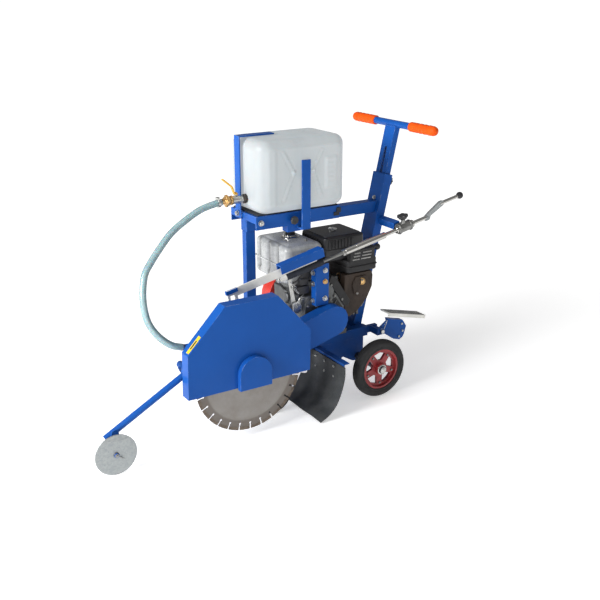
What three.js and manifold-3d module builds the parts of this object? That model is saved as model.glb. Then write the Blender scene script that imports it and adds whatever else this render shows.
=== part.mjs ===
// Walk-behind concrete saw: steel frame on four wheels, engine, belt drive, guarded diamond blade,
// water tank with ball valve and hose, screw-crank depth control, folding guide arm.
// Millimetres, +Z up, the saw cuts towards -Y, the operator stands at +Y, the blade is on +X.
import * as THREE from "three";
import { mergeVertices } from "three/addons/utils/BufferGeometryUtils.js";
import Module from "manifold-3d";

const wasm = await Module();
wasm.setup();

// ---------- driving dimensions ----------
const GAP = 0.3;
const SHIFT = [-22, 379.3, 0];

const REAR_R = 120;
const REAR_X0 = 192;
const REAR_X1 = 237;
const REAR_AXLE = [0, 120];

const FRONT_R = 86;
const FRONT_X0 = 100.3;
const FRONT_X1 = 139.7;
const FRONT_AXLE = [-445, 86];
const ARM_PIVOT = [-730, 190];
const LEVER_PIN = [-618.8, 482.6];

const BED_Z0 = 215;
const BED_Z1 = 255;
const BED_X = 95;
const BED_Y0 = -650;
const BED_Y1 = 30;

const BLADE_R = 215;
const BLADE_X = 245;
const BLADE_T = 3.2;
const BLADE_AXIS = [-612, 247];
const ENGINE_AXIS = [-205, 357];
const SEGMENTS = 28;

const GUARD_X0 = 221;
const GUARD_X1 = 269;
const GUARD_T = 3;

const POST_LEAN = 12.7;
const POST_BASE = [10, 211];
const POST_TOP = 668;
const TBAR_S = 868;
const TBAR_HALF = 258;

const ROD_X = 160;
const ROD_BASE = [147, 674];
const ROD_SLOPE = 11.85;

const TRAY_X = 97;
const TRAY_Y0 = -489;
const TRAY_Y1 = -123;
const TRAY_TOP = 784;

const TANK_X = 122;
const TANK_Y0 = -484;
const TANK_Y1 = -105;
const TANK_Z0 = 789.3;
const TANK_Z1 = 1057;
const VALVE_AXIS = [15, 838];

const HOSE_R = 12.5;
const HOSE_PATH = [
  [15, -586, 836],
  [15, -606, 834],
  [20, -673, 820],
  [32, -743, 790],
  [48, -805, 757],
  [69, -861, 712],
  [86, -900, 677],
  [103, -932, 642],
  [125, -952, 582],
  [143, -956, 526],
  [156, -946, 477],
  [167, -916, 430],
  [173, -877, 396],
  [175, -836, 380],
];

const GUIDE_X = 200;
const GUIDE_PIVOT = [-835, 293];
const GUIDE_TIP = [-1150, 121];
const DISC_R = 75;
const DISC_AXIS = [-1130, 76];

const FLAP_X0 = 88;
const FLAP_X1 = 308;

// ---------- colours ----------
const BLUE = 0x1f4c9c;
const STEEL = 0xb9bcbd;
const DARK = 0x1b1c1e;

// ---------- geometry helpers ----------
const rad = (degrees) => (degrees * Math.PI) / 180;

function solid(geometry, matrix) {
  const g = geometry.index ? geometry.toNonIndexed() : geometry.clone();
  g.deleteAttribute("normal");
  g.deleteAttribute("uv");
  if (matrix) g.applyMatrix4(matrix);
  const merged = mergeVertices(g, 1e-4);
  const triVerts = new Uint32Array(merged.index.array);
  const vertProperties = new Float32Array(merged.attributes.position.array);
  return new wasm.Manifold(new wasm.Mesh({ numProp: 3, vertProperties, triVerts }));
}

function geometryOf(body) {
  const mesh = body.getMesh();
  const g = new THREE.BufferGeometry();
  const count = mesh.vertProperties.length / mesh.numProp;
  const xyz = new Float32Array(count * 3);
  for (let i = 0; i < count; i += 1) {
    xyz[3 * i] = mesh.vertProperties[mesh.numProp * i];
    xyz[3 * i + 1] = mesh.vertProperties[mesh.numProp * i + 1];
    xyz[3 * i + 2] = mesh.vertProperties[mesh.numProp * i + 2];
  }
  g.setAttribute("position", new THREE.BufferAttribute(xyz, 3));
  g.setIndex(new THREE.BufferAttribute(new Uint32Array(mesh.triVerts), 1));
  g.computeVertexNormals();
  return g;
}

function join(...bodies) {
  return bodies.reduce((a, b) => a.add(b));
}

function box(x0, x1, y0, y1, z0, z1, matrix) {
  const g = new THREE.BoxGeometry(x1 - x0, y1 - y0, z1 - z0);
  g.translate((x0 + x1) / 2, (y0 + y1) / 2, (z0 + z1) / 2);
  return solid(g, matrix);
}

// A cylinder between two points.
function rod(a, b, r, sides = 16, matrix = null) {
  const p = new THREE.Vector3(...a);
  const q = new THREE.Vector3(...b);
  const axis = q.clone().sub(p);
  const g = new THREE.CylinderGeometry(r, r, axis.length(), sides);
  const turn = new THREE.Quaternion();
  turn.setFromUnitVectors(new THREE.Vector3(0, 1, 0), axis.clone().normalize());
  g.applyQuaternion(turn);
  g.translate((p.x + q.x) / 2, (p.y + q.y) / 2, (p.z + q.z) / 2);
  return solid(g, matrix);
}

// A cylinder along X about an axis given as [y, z].
function rodX(x0, x1, at, r, sides = 16, matrix = null) {
  return rod([x0, at[0], at[1]], [x1, at[0], at[1]], r, sides, matrix);
}

// A turned piece about an X axis: profile of [radius, x], closed on the axis or on itself.
function turnedX(profile, at, sides) {
  const points = profile.map(([r, x]) => new THREE.Vector2(r, x));
  const g = new THREE.LatheGeometry(points, sides);
  g.rotateZ(-Math.PI / 2);
  g.translate(0, at[0], at[1]);
  return solid(g);
}

// A plate cut from an outline of [y, z] points, between two X planes.
function plateX(outline, x0, x1, matrix) {
  const shape = new THREE.Shape(outline.map(([y, z]) => new THREE.Vector2(y, z)));
  const g = new THREE.ExtrudeGeometry(shape, { depth: x1 - x0, bevelEnabled: false });
  const m = new THREE.Matrix4().set(0, 0, 1, x0, 1, 0, 0, 0, 0, 1, 0, 0, 0, 0, 0, 1);
  g.applyMatrix4(m);
  return solid(g, matrix);
}

// A round bar swept along a path of points.
function sweep(points, r, sides, steps, tension) {
  const list = points.map((p) => new THREE.Vector3(...p));
  const path = new THREE.CatmullRomCurve3(list, false, "catmullrom", tension);
  const shape = new THREE.Shape();
  for (let i = 0; i < sides; i += 1) {
    const a = (2 * Math.PI * i) / sides;
    const x = r * Math.cos(a);
    const y = r * Math.sin(a);
    if (i === 0) shape.moveTo(x, y);
    else shape.lineTo(x, y);
  }
  shape.closePath();
  return new THREE.ExtrudeGeometry(shape, { steps, bevelEnabled: false, extrudePath: path });
}

// Outline of a belt run round two circles given as [y, z], counter-clockwise.
function capsule(a, ra, b, rb, n) {
  const [small, rs, large, rl] = a[0] < b[0] ? [a, ra, b, rb] : [b, rb, a, ra];
  const dy = large[0] - small[0];
  const dz = large[1] - small[1];
  const d = Math.hypot(dy, dz);
  const line = Math.atan2(dz, dy);
  const open = Math.acos((rs - rl) / d);
  const points = [];
  for (let i = 0; i <= n; i += 1) {
    const t = line - open + (2 * open * i) / n;
    points.push([large[0] + rl * Math.cos(t), large[1] + rl * Math.sin(t)]);
  }
  const rest = 2 * Math.PI - 2 * open;
  for (let i = 0; i <= n; i += 1) {
    const t = line + open + (rest * i) / n;
    points.push([small[0] + rs * Math.cos(t), small[1] + rs * Math.sin(t)]);
  }
  return points;
}

// A rounded block: rectangle with rounded vertical edges and bevelled top and bottom.
function roundedBlock(x0, x1, y0, y1, z0, z1, r, bevel, steps) {
  const shape = new THREE.Shape();
  const [a, b, c, d] = [x0 + bevel, x1 - bevel, y0 + bevel, y1 - bevel];
  const k = Math.max(r - bevel, 0.5);
  shape.moveTo(a + k, c);
  shape.lineTo(b - k, c);
  shape.absarc(b - k, c + k, k, -Math.PI / 2, 0, false);
  shape.lineTo(b, d - k);
  shape.absarc(b - k, d - k, k, 0, Math.PI / 2, false);
  shape.lineTo(a + k, d);
  shape.absarc(a + k, d - k, k, Math.PI / 2, Math.PI, false);
  shape.lineTo(a, c + k);
  shape.absarc(a + k, c + k, k, Math.PI, 1.5 * Math.PI, false);
  const g = new THREE.ExtrudeGeometry(shape, {
    depth: z1 - z0 - 2 * bevel,
    bevelThickness: bevel,
    bevelSize: bevel,
    bevelSegments: steps,
    curveSegments: steps + 1,
  });
  g.translate(0, 0, z0 + bevel);
  return solid(g);
}

function turnX(degrees, x, y, z) {
  const m = new THREE.Matrix4().makeRotationX(rad(degrees));
  m.setPosition(x, y, z);
  return m;
}

const POST = turnX(-POST_LEAN, 0, POST_BASE[0], POST_BASE[1]);
const ROD = turnX(ROD_SLOPE, ROD_X, ROD_BASE[0], ROD_BASE[1]);

// ---------- frame ----------
function chassisFrame() {
  const rail = (s) => box(...(s > 0 ? [60, BED_X] : [-BED_X, -60]), BED_Y0, BED_Y1, BED_Z0, BED_Z1);
  const front = box(-61, 61, BED_Y0, -590, BED_Z0, BED_Z1);
  const middle = box(-61, 61, -500, -440, BED_Z0, BED_Z1);
  const plate = box(-61, 61, -350, -70, BED_Z1 - 8, BED_Z1);
  const rear = box(-61, 61, -70, -30, BED_Z0, BED_Z1);
  const gussets = join(
    box(40.3, 61, -2, 26, BED_Z0, BED_Z1),
    box(-61, -40.3, -2, 26, BED_Z0, BED_Z1),
  );
  const tube = rodX(-BED_X, 149.7, BLADE_AXIS, 32, 24);
  const skirt = [
    [-290, 218],
    [-140, 118],
    [-100, 112],
    [-72, 130],
    [-34, 108],
    [-20, 101],
    [20, 101],
    [30, 125],
    [30, 218],
  ];
  const lug = [
    [-648, 252],
    [-712, 214],
    [-752, 190],
    [-744, 170],
    [-720, 168],
    [-600, 216],
    [-600, 252],
  ];
  let body = join(rail(1), rail(-1), front, middle, plate, rear, gussets, tube);
  body = join(body, plateX(skirt, 60, 66), plateX(skirt, -66, -60));
  body = join(body, plateX(lug, 60, 72), plateX(lug, -72, -60));
  body = join(body, box(70, 296, -229, -225, 172, 217), box(70, 296, -229, -203, 213, 217));
  body = join(body, box(78, 96, 20, 78, 226, 254), box(136, 144, 50, 78, 226, 254));
  body = join(body, box(78, 144, 44, 50, 226, 254));
  body = body.subtract(rodX(-68, 68, REAR_AXLE, 10.4, 16));
  body = body.subtract(rodX(-80, 80, ARM_PIVOT, 14.4, 16));
  body = body.subtract(rodX(30, 152, BLADE_AXIS, 13.4, 20));
  return body.subtract(rodX(70, 150, [66, 240], 5.4, 12));
}

function frontPost() {
  return box(-15, 15, -488, -448, BED_Z1 + GAP, 711.7);
}

function topBeam() {
  const outline = [
    [-488, 712],
    [102.6, 712],
    [112.8, 757],
    [-488, 757],
  ];
  return plateX(outline, -22, 22);
}

function rearPost() {
  const outer = box(-40, 40, -19, 19, -72, POST_TOP, POST);
  const hollow = box(-36, 36, -15, 15, 330, POST_TOP + 5, POST);
  const stub = box(38, 137.7, -15, 15, -14, 14, turnX(ROD_SLOPE, 0, 129, 678));
  return join(outer, stub).subtract(hollow);
}

function handlePost() {
  const inner = box(-32, 32, -12.5, 12.5, 450, TBAR_S, POST);
  const slot = box(-5, 5, -14, 14, 560, 775, POST);
  const bar = rod([-TBAR_HALF + 4, 0, TBAR_S], [TBAR_HALF - 4, 0, TBAR_S], 14, 16, POST);
  return inner.subtract(slot).add(bar);
}

// A closed sleeve with a domed end, slid over the bar end.
function grip(side) {
  const profile = [
    [14.3, 112],
    [17.5, 112],
    [19, 118],
    [19.5, 150],
    [18.6, 205],
    [19.4, 242],
    [17, 255],
    [11, 262],
    [0, 264],
    [0, 256],
    [14.3, 256],
    [14.3, 112],
  ];
  const points = profile.map(([r, x]) => new THREE.Vector2(r, x));
  const g = new THREE.LatheGeometry(points, 20);
  g.rotateZ(side > 0 ? -Math.PI / 2 : Math.PI / 2);
  g.translate(0, 0, TBAR_S);
  return solid(g, POST);
}

function postKnob() {
  const stem = rod([0, 19.3, 640], [0, 30, 640], 7, 12, POST);
  const head = rod([0, 29, 640], [0, 48, 640], 17, 12, POST);
  return join(stem, head);
}

// ---------- tank platform ----------
function tankTray() {
  const floor = box(-TRAY_X, TRAY_X, TRAY_Y0, TRAY_Y1, TRAY_TOP - 5, TRAY_TOP);
  const left = box(TRAY_X - 5, TRAY_X, TRAY_Y0, TRAY_Y1, 734, TRAY_TOP);
  const right = box(-TRAY_X, -TRAY_X + 5, TRAY_Y0, TRAY_Y1, 734, TRAY_TOP);
  const front = box(-TRAY_X, TRAY_X, TRAY_Y0, TRAY_Y0 + 5, 757.3, TRAY_TOP);
  const rear = box(-TRAY_X, TRAY_X, TRAY_Y1 - 5, TRAY_Y1, 757.3, TRAY_TOP);
  const bearers = join(
    box(-TRAY_X + 1, TRAY_X - 1, -440, -405, 757.3, TRAY_TOP - 1),
    box(-TRAY_X + 1, TRAY_X - 1, -205, -170, 757.3, TRAY_TOP - 1),
  );
  const sleeve = box(60, TRAY_X, -356, -253, 709, 745);
  const tunnel = box(55, TRAY_X + 5, -313, -275, 718.5, 727.5);
  const bolt = rodX(TRAY_X - 2, TRAY_X + 7, [-469, 759], 9, 6);
  return join(floor, left, right, front, rear, bearers, sleeve, bolt).subtract(tunnel);
}

function tankMat() {
  return box(-92, 92, -480, -128, TRAY_TOP + GAP, TANK_Z0 - GAP);
}

function waterTank() {
  const body = roundedBlock(-TANK_X, TANK_X, TANK_Y0, TANK_Y1, TANK_Z0, TANK_Z1, 46, 26, 3);
  const groove = box(-62, 0, TANK_Y0 - 5, TANK_Y0 + 5, TANK_Z0 + 60, TANK_Z1 + 5);
  const neck = rod([-50, TANK_Y1 - 4, 985], [-50, TANK_Y1 + 14, 985], 24, 20);
  return body.subtract(groove).add(neck);
}

function tankCap() {
  const outer = rod([-50, TANK_Y1 + 2, 985], [-50, TANK_Y1 + 20, 985], 30, 20);
  const bore = rod([-50, TANK_Y1 - 2, 985], [-50, TANK_Y1 + 14.4, 985], 24.4, 20);
  return outer.subtract(bore);
}

function frontStrap() {
  const upright = box(-50, -12, -494.5, -489.4, 758, 1063);
  const top = box(-50, -12, -494.5, -345, 1057.8, 1063);
  const foot = box(-56, -6, -494.5, -489.4, 758, 790);
  return join(upright, top, foot);
}

function sideClamp() {
  const leg = box(42, 131, -312, -276, 720, 726);
  const upright = box(125, 131, -312, -276, 720, 980);
  return join(leg, upright);
}

function clampKnob() {
  const stem = rodX(TRAY_X + GAP, 108, [-337, 757], 6, 12);
  const head = rodX(107, 123, [-337, 757], 15.5, 16);
  return join(stem, head);
}

// ---------- water feed ----------
function valveRod(y0, y1, r, sides) {
  return rod([VALVE_AXIS[0], y0, VALVE_AXIS[1]], [VALVE_AXIS[0], y1, VALVE_AXIS[1]], r, sides);
}

function tankOutlet() {
  return valveRod(TANK_Y0 - GAP, TANK_Y0 - 13, 18, 8);
}

function valveBody() {
  const pipe = valveRod(TANK_Y0 - 13.3, -556, 11.5, 16);
  const ball = valveRod(-542, -512, 15, 16);
  const stem = rod([15, -527, 845], [15, -527, 858], 5, 12);
  return join(pipe, ball, stem);
}

function valveLever() {
  const outline = [
    [-519, 858.3],
    [-519, 861.5],
    [-531, 861.5],
    [-542, 891],
    [-578, 921],
    [-582, 917],
    [-546, 887],
    [-534, 858.3],
  ];
  const plate = plateX(outline, 8, 22);
  const nut = rod([15, -526, 861], [15, -526, 866], 5.5, 6);
  return join(plate, nut);
}

function hoseNut() {
  const hex = valveRod(-574, -556.3, 17, 6);
  const barb = valveRod(-584, -573, 11, 16);
  return join(hex, barb);
}

function hoseClamp() {
  const ring = rod([15, -594, 835.2], [15, -604, 834.2], 16, 20);
  const bore = rod([15, -590, 835.6], [15, -608, 833.8], 13.4, 20);
  const screw = rod([5, -599, 851], [25, -599, 851], 4, 8);
  return ring.add(screw).subtract(bore);
}

function waterHose() {
  return solid(sweep(HOSE_PATH, HOSE_R, 8, 30, 0.5));
}

// ---------- blade and guard ----------
const GUARD_OUTLINE = [
  [-865, 218],
  [-365, 218],
  [-363, 380],
  [-500, 536],
  [-713, 536],
  [-861, 383],
];
const GUARD_CAVITY = [
  [-862, 210],
  [-368, 210],
  [-366, 379],
  [-501.5, 533],
  [-711.5, 533],
  [-858, 382],
];

function notch(x0, x1) {
  const slot = box(x0, x1, BLADE_AXIS[0] - 40, BLADE_AXIS[0] + 40, 205, BLADE_AXIS[1]);
  return slot.add(rodX(x0, x1, BLADE_AXIS, 40, 24));
}

function bladeGuard() {
  let body = plateX(GUARD_OUTLINE, GUARD_X0, GUARD_X1);
  body = body.subtract(plateX(GUARD_CAVITY, GUARD_X0 + GUARD_T, GUARD_X1 - GUARD_T));
  body = body.subtract(notch(GUARD_X0 - 2, GUARD_X0 + 8));
  body = body.subtract(notch(GUARD_X1 - 8, GUARD_X1 + 2));
  const pin = rodX(182, GUARD_X0 + 1, GUIDE_PIVOT, 7, 12);
  const head = rodX(178, 184, GUIDE_PIVOT, 12, 6);
  const boss = rodX(213.5, GUARD_X0 + 1, GUIDE_PIVOT, 18, 16);
  const nozzle = rodX(168, GUARD_X0 + 1, [-812, 378], 9, 12);
  const spigot = rod([175, -812, 378], [175, -831, 379], 11, 12);
  return join(body, pin, head, boss, nozzle, spigot);
}

function bumpOutline(side, bottom) {
  const points = [[-607 + side, bottom]];
  for (let i = 0; i <= 12; i += 1) {
    const a = (Math.PI * i) / 12;
    points.push([-607 + side * Math.cos(a), 268 + side * Math.sin(a)]);
  }
  points.push([-607 - side, bottom]);
  return points;
}

function hubCover() {
  const outer = plateX(bumpOutline(65, 212), GUARD_X1 + GAP, 292);
  return outer.subtract(plateX(bumpOutline(62, 205), GUARD_X1 - 2, 289));
}

function guardLabel() {
  const m = new THREE.Matrix4().makeRotationX(rad(46));
  m.setPosition(245, -847.2, 402.2);
  return box(-12, 12, -8, 8, 0.3, 1.2, m);
}

function sawBlade() {
  const outline = [];
  const core = BLADE_R - 16;
  for (let i = 0; i < SEGMENTS; i += 1) {
    const a0 = (2 * Math.PI * i) / SEGMENTS;
    const pitch = (2 * Math.PI) / SEGMENTS;
    const slot = 2.2 / BLADE_R;
    for (const [r, a] of [
      [core, a0 + slot],
      [BLADE_R, a0 + slot],
      [BLADE_R, a0 + pitch / 2],
      [BLADE_R, a0 + pitch - slot],
      [core, a0 + pitch - slot],
    ])
      outline.push([BLADE_AXIS[0] + r * Math.cos(a), BLADE_AXIS[1] + r * Math.sin(a)]);
  }
  const disc = plateX(outline, BLADE_X - BLADE_T / 2, BLADE_X + BLADE_T / 2);
  return disc.subtract(rodX(BLADE_X - 5, BLADE_X + 5, BLADE_AXIS, 12.8, 20));
}

function arborShaft() {
  const shaft = rodX(34, 236.5, BLADE_AXIS, 13, 20);
  const flange = rodX(236, BLADE_X - BLADE_T / 2 - GAP, BLADE_AXIS, 52, 24);
  const thread = rodX(240, 268, BLADE_AXIS, 12.4, 20);
  return join(shaft, flange, thread);
}

function arborClamp() {
  const flange = rodX(BLADE_X + BLADE_T / 2 + GAP, 252.5, BLADE_AXIS, 52, 24);
  const nut = rodX(252, 265, BLADE_AXIS, 22, 6);
  return join(flange, nut).subtract(rodX(240, 270, BLADE_AXIS, 12.8, 20));
}

function pulley(at, groove, rim, bore) {
  const profile = [
    [bore, 163],
    [rim, 163],
    [rim, 166],
    [groove, 166],
    [groove, 184],
    [rim, 184],
    [rim, 187],
    [bore, 187],
    [bore, 163],
  ];
  return turnedX(profile, at, 20);
}

function bladePulley() {
  return pulley(BLADE_AXIS, 38, 46, 13.3);
}

function enginePulley() {
  const rim = pulley(ENGINE_AXIS, 28, 36, 10);
  return rim.add(rodX(131, 190, ENGINE_AXIS, 12.5, 20));
}

function driveBelt() {
  const outer = plateX(capsule(BLADE_AXIS, 45.5, ENGINE_AXIS, 35.5, 10), 167, 183);
  const inner = plateX(capsule(BLADE_AXIS, 38.8, ENGINE_AXIS, 28.8, 10), 160, 190);
  return outer.subtract(inner);
}

function beltGuard() {
  let body = plateX(capsule(BLADE_AXIS, 60, ENGINE_AXIS, 60, 8), 150, 200);
  body = body.subtract(plateX(capsule(BLADE_AXIS, 57, ENGINE_AXIS, 57, 8), 153, 197));
  const collar = rodX(199, GUARD_X0 - 5, BLADE_AXIS, 30, 24);
  const flange = rodX(GUARD_X0 - 6, GUARD_X0 - GAP, BLADE_AXIS, 54, 24);
  body = join(body, collar, flange);
  body = body.subtract(rodX(148, 154, ENGINE_AXIS, 18, 16));
  return body.subtract(rodX(148, 230, BLADE_AXIS, 17, 16));
}

// ---------- engine ----------
function engineBlock() {
  const foot = box(-100, 110, -322, -88, BED_Z1 + GAP, 276);
  const crankcase = roundedBlock(-104, 128, -308, -112, 270, 452, 24, 6, 2);
  const boss = rodX(126, 146, ENGINE_AXIS, 42, 24);
  const deck = box(-90, 90, -300, -120, 450, 496);
  let body = join(foot, crankcase, boss, deck);
  for (let i = 0; i < 6; i += 1) {
    const y = -112 + i * 17;
    body = body.add(box(-70, 92, y, y + 8, 318, 452 - i * 4));
  }
  body = join(body, box(-40, 62, -114, -6, 345, 432), box(-52, 76, -24, 14, 340, 440));
  return body.subtract(rodX(118, 150, ENGINE_AXIS, 13, 20));
}

function fuelTank() {
  return roundedBlock(-150, 95, -362, -190, 497, 645, 22, 12, 2);
}

function fuelCap() {
  return join(
    rod([-38, -262, 645.3], [-38, -262, 655], 27, 20),
    rod([-38, -262, 654], [-38, -262, 671], 23, 12),
  );
}

function airCleaner() {
  return roundedBlock(-80, 95, -186, 2, 560.3, 657, 16, 8, 2);
}

function muffler() {
  const top = roundedBlock(-60, 125, -98, 46, 508, 559, 14, 7, 2);
  const shield = box(99, 125, -84, 32, 550, 600);
  const body = roundedBlock(-50, 96, -88, 22, 455, 512, 12, 6, 2);
  const outlet = rod([74, -104, 484], [74, -86, 484], 15, 16);
  const bore = rod([74, -106, 484], [74, -92, 484], 11, 12);
  return join(top, shield, body, outlet).subtract(bore);
}

function recoilCover() {
  return turnedX(
    [
      [0, -197],
      [52, -197],
      [62, -190],
      [104, -184],
      [116, -170],
      [118, -105],
      [0, -105],
    ],
    [-205, 375],
    28,
  );
}

function starterGrip() {
  return roundedBlock(-214, -197.6, -150, -112, 430, 446, 4, 3, 1);
}

function throttleLever() {
  const pivot = [-285, 470];
  const outline = [
    [-291, 466],
    [-279, 466],
    [-281, 482],
    [-300, 520],
    [-307, 516],
    [-290, 480],
  ];
  return join(rodX(98.3, 108, pivot, 9, 12), plateX(outline, 100, 104));
}

function controlKnob() {
  const stem = rod([76, 2.3, 583], [76, 72, 583], 4, 10);
  const ball = rod([76, 68, 583], [76, 92, 583], 13, 14);
  return join(stem, ball);
}

// ---------- depth control ----------
function crankBearing() {
  const sleeve = rod([0, -34, 0], [0, 34, 0], 19, 14, ROD);
  const block = box(-22, 4, -16, 16, -15, 15, ROD);
  const ribs = join(
    rod([0, -30, 0], [0, -24, 0], 22, 14, ROD),
    rod([0, 24, 0], [0, 30, 0], 22, 14, ROD),
  );
  const boss = rod([0, 0, 10], [0, 0, 32], 9, 8, ROD);
  const bore = rod([0, -40, 0], [0, 40, 0], 8.6, 12, ROD);
  return join(sleeve, block, ribs, boss).subtract(bore);
}

function lockKnob() {
  const hub = rod([0, 0, 32.3], [0, 0, 52], 13, 12, ROD);
  let body = hub;
  for (let i = 0; i < 5; i += 1) {
    const a = (2 * Math.PI * i) / 5;
    const at = [15 * Math.cos(a), 15 * Math.sin(a)];
    body = body.add(rod([at[0], at[1], 36], [at[0], at[1], 51], 8, 8, ROD));
  }
  return body;
}

function crankHandle() {
  const bend = [
    [0, 30, 0],
    [0, 120, 0],
    [0, 140, 2],
    [0, 160, 9],
    [0, 182, 24],
    [0, 204, 32],
    [0, 226, 33],
    [0, 300, 33],
  ];
  const handle = solid(sweep(bend, 8, 8, 14, 0.4), ROD);
  const shaft = rod([0, -100, 0], [0, 40, 0], 8, 12, ROD);
  const collars = join(
    rod([0, 34.3, 0], [0, 42, 0], 14, 12, ROD),
    rod([0, -42, 0], [0, -34.3, 0], 14, 12, ROD),
  );
  const tube = rod([0, -290, 0], [0, -95, 0], 13, 14, ROD);
  const screw = rod([0, -560, 0], [0, -285, 0], 7, 8, ROD);
  return join(handle, shaft, collars, tube, screw);
}

function crankGrip() {
  const ball = new THREE.SphereGeometry(14.5, 16, 12);
  ball.translate(0, 298, 33);
  return solid(ball, ROD).subtract(rod([0, 270, 33], [0, 300.4, 33], 8.4, 14, ROD));
}

function drawBar() {
  const tube = rod([0, -590, 0], [0, -397, 0], 12, 16, ROD);
  const bore = rod([0, -572, 0], [0, -390, 0], 7.6, 12, ROD);
  const bar = box(-3, 3, -792, -420, 10, 41, ROD);
  const yoke = box(-3, 3, -808, -768, -47, 41, ROD);
  const slot = box(-6, 6, -797.5, -780.5, -40, 18, ROD);
  return join(tube, bar, yoke).subtract(bore).subtract(slot);
}

function guideBracket() {
  const channel = box(-17, 17, -583, -392, 24, 58, ROD);
  const tunnel = box(-13, 13, -590, -385, 20, 54, ROD);
  const cheek = box(-20, -15, -440, -392, -17, 58, ROD);
  const shelf = box(-20, 0, -440, -392, -21, -16, ROD);
  const near = box(155, 160, -264, -211, 418, 582);
  const front = box(128.4, 160, -269, -264, 418, 582);
  const clearance = box(-13, 13, -590, -385, -14, 14, ROD);
  const plates = join(near, front).subtract(clearance);
  let body = join(channel.subtract(tunnel), cheek, shelf, plates);
  for (const z of [444, 512, 556]) {
    body = body.add(rodX(159, 166, [-228, z], 8, 6));
    body = body.add(rod([142, -276, z - 8], [142, -268, z - 8], 7, 6));
  }
  return body;
}

function swingArm() {
  const shaft = rodX(-100, 156, ARM_PIVOT, 14, 14);
  const side = capsule(ARM_PIVOT, 20, FRONT_AXLE, 17, 4);
  const lever = capsule(ARM_PIVOT, 22, LEVER_PIN, 14, 4);
  const axle = rodX(-147, 147, FRONT_AXLE, 9.5, 12);
  const stops = join(
    rodX(90, 99, FRONT_AXLE, 15, 10),
    rodX(-99, -90, FRONT_AXLE, 15, 10),
    rodX(141, 149, FRONT_AXLE, 15, 6),
    rodX(-149, -141, FRONT_AXLE, 15, 6),
  );
  const pin = rodX(153, 171, LEVER_PIN, 6, 10);
  const head = rodX(165, 173, LEVER_PIN, 13, 6);
  const plates = join(plateX(side, 40, 50), plateX(side, -50, -40), plateX(lever, 144, 155));
  return join(shaft, plates, axle, stops, pin, head);
}

function frontWheel(s) {
  const profile = [
    [10, FRONT_X0],
    [62, FRONT_X0 + 6],
    [66, FRONT_X0 + 1],
    [80, FRONT_X0 + 1],
    [FRONT_R, FRONT_X0 + 8],
    [FRONT_R, FRONT_X1 - 8],
    [80, FRONT_X1 - 1],
    [66, FRONT_X1 - 1],
    [62, FRONT_X1 - 6],
    [10, FRONT_X1],
    [10, FRONT_X0],
  ];
  const mirrored = profile.map(([r, x]) => [r, -x]).reverse();
  return turnedX(s > 0 ? profile : mirrored, FRONT_AXLE, 24);
}

// ---------- rear wheels ----------
function rearAxle() {
  const shaft = rodX(-243, 243, REAR_AXLE, 10, 12);
  const spacers = join(rodX(68, 191.4, REAR_AXLE, 15, 12), rodX(-191.4, -68, REAR_AXLE, 15, 12));
  const nuts = join(rodX(237.6, 247, REAR_AXLE, 16, 6), rodX(-247, -237.6, REAR_AXLE, 16, 6));
  return join(shaft, spacers, nuts);
}

function rearTyre(s) {
  const profile = [
    [84.3, REAR_X0 + 3],
    [108, REAR_X0],
    [117, REAR_X0 + 6],
    [REAR_R, REAR_X0 + 16],
    [REAR_R, REAR_X1 - 16],
    [117, REAR_X1 - 6],
    [108, REAR_X1],
    [84.3, REAR_X1 - 3],
    [84.3, REAR_X0 + 3],
  ];
  const mirrored = profile.map(([r, x]) => [r, -x]).reverse();
  return turnedX(s > 0 ? profile : mirrored, REAR_AXLE, 32);
}

function rearHub(s) {
  const at = REAR_AXLE;
  const [x0, x1] = s > 0 ? [REAR_X0 + 5, REAR_X1 - 4] : [-REAR_X1 + 4, -REAR_X0 - 5];
  const web = s > 0 ? [210, 222] : [-222, -210];
  const rim = rodX(x0, x1, at, 83.8, 32).subtract(rodX(x0 - 1, x1 + 1, at, 76, 32));
  let disc = rodX(web[0], web[1], at, 77, 32);
  for (let i = 0; i < 5; i += 1) {
    const a = rad(90 + 72 * i);
    const half = rad(25);
    const hole = [
      [36, a - half * 0.55],
      [66, a - half],
      [69, a],
      [66, a + half],
      [36, a + half * 0.55],
    ].map(([r, t]) => [at[0] + r * Math.cos(t), at[1] + r * Math.sin(t)]);
    disc = disc.subtract(plateX(hole, web[0] - 1, web[1] + 1));
  }
  const boss = s > 0 ? rodX(192, 237, at, 24, 16) : rodX(-237, -192, at, 24, 16);
  return join(rim, disc, boss).subtract(rodX(-250, 250, at, 10.5, 12));
}

// ---------- guide arm, splash flap, foot pedal ----------
function guideArm() {
  const [py, pz] = GUIDE_PIVOT;
  const [ty, tz] = GUIDE_TIP;
  const tube = rod([GUIDE_X, py, pz], [GUIDE_X, ty, tz], 12, 14);
  const eye = rodX(GUIDE_X - 13, GUIDE_X + 13, GUIDE_PIVOT, 17, 18);
  const bore = rodX(GUIDE_X - 20, GUIDE_X + 20, GUIDE_PIVOT, 7.4, 14);
  const hanger = plateX(capsule([-1118, 138], 14, DISC_AXIS, 14, 6), 211, 216);
  const web = box(206, 214, -1128, -1108, 120, 146);
  const axle = rodX(214, 251, DISC_AXIS, 6, 12);
  const head = rodX(248, 255, DISC_AXIS, 9, 6);
  return join(tube, eye, hanger, web, axle, head).subtract(bore);
}

function guideDisc() {
  const disc = rodX(243, 247, DISC_AXIS, DISC_R, 36);
  const hub = rodX(232, 244, DISC_AXIS, 14, 16);
  return join(disc, hub).subtract(rodX(225, 250, DISC_AXIS, 6.4, 14));
}

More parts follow.
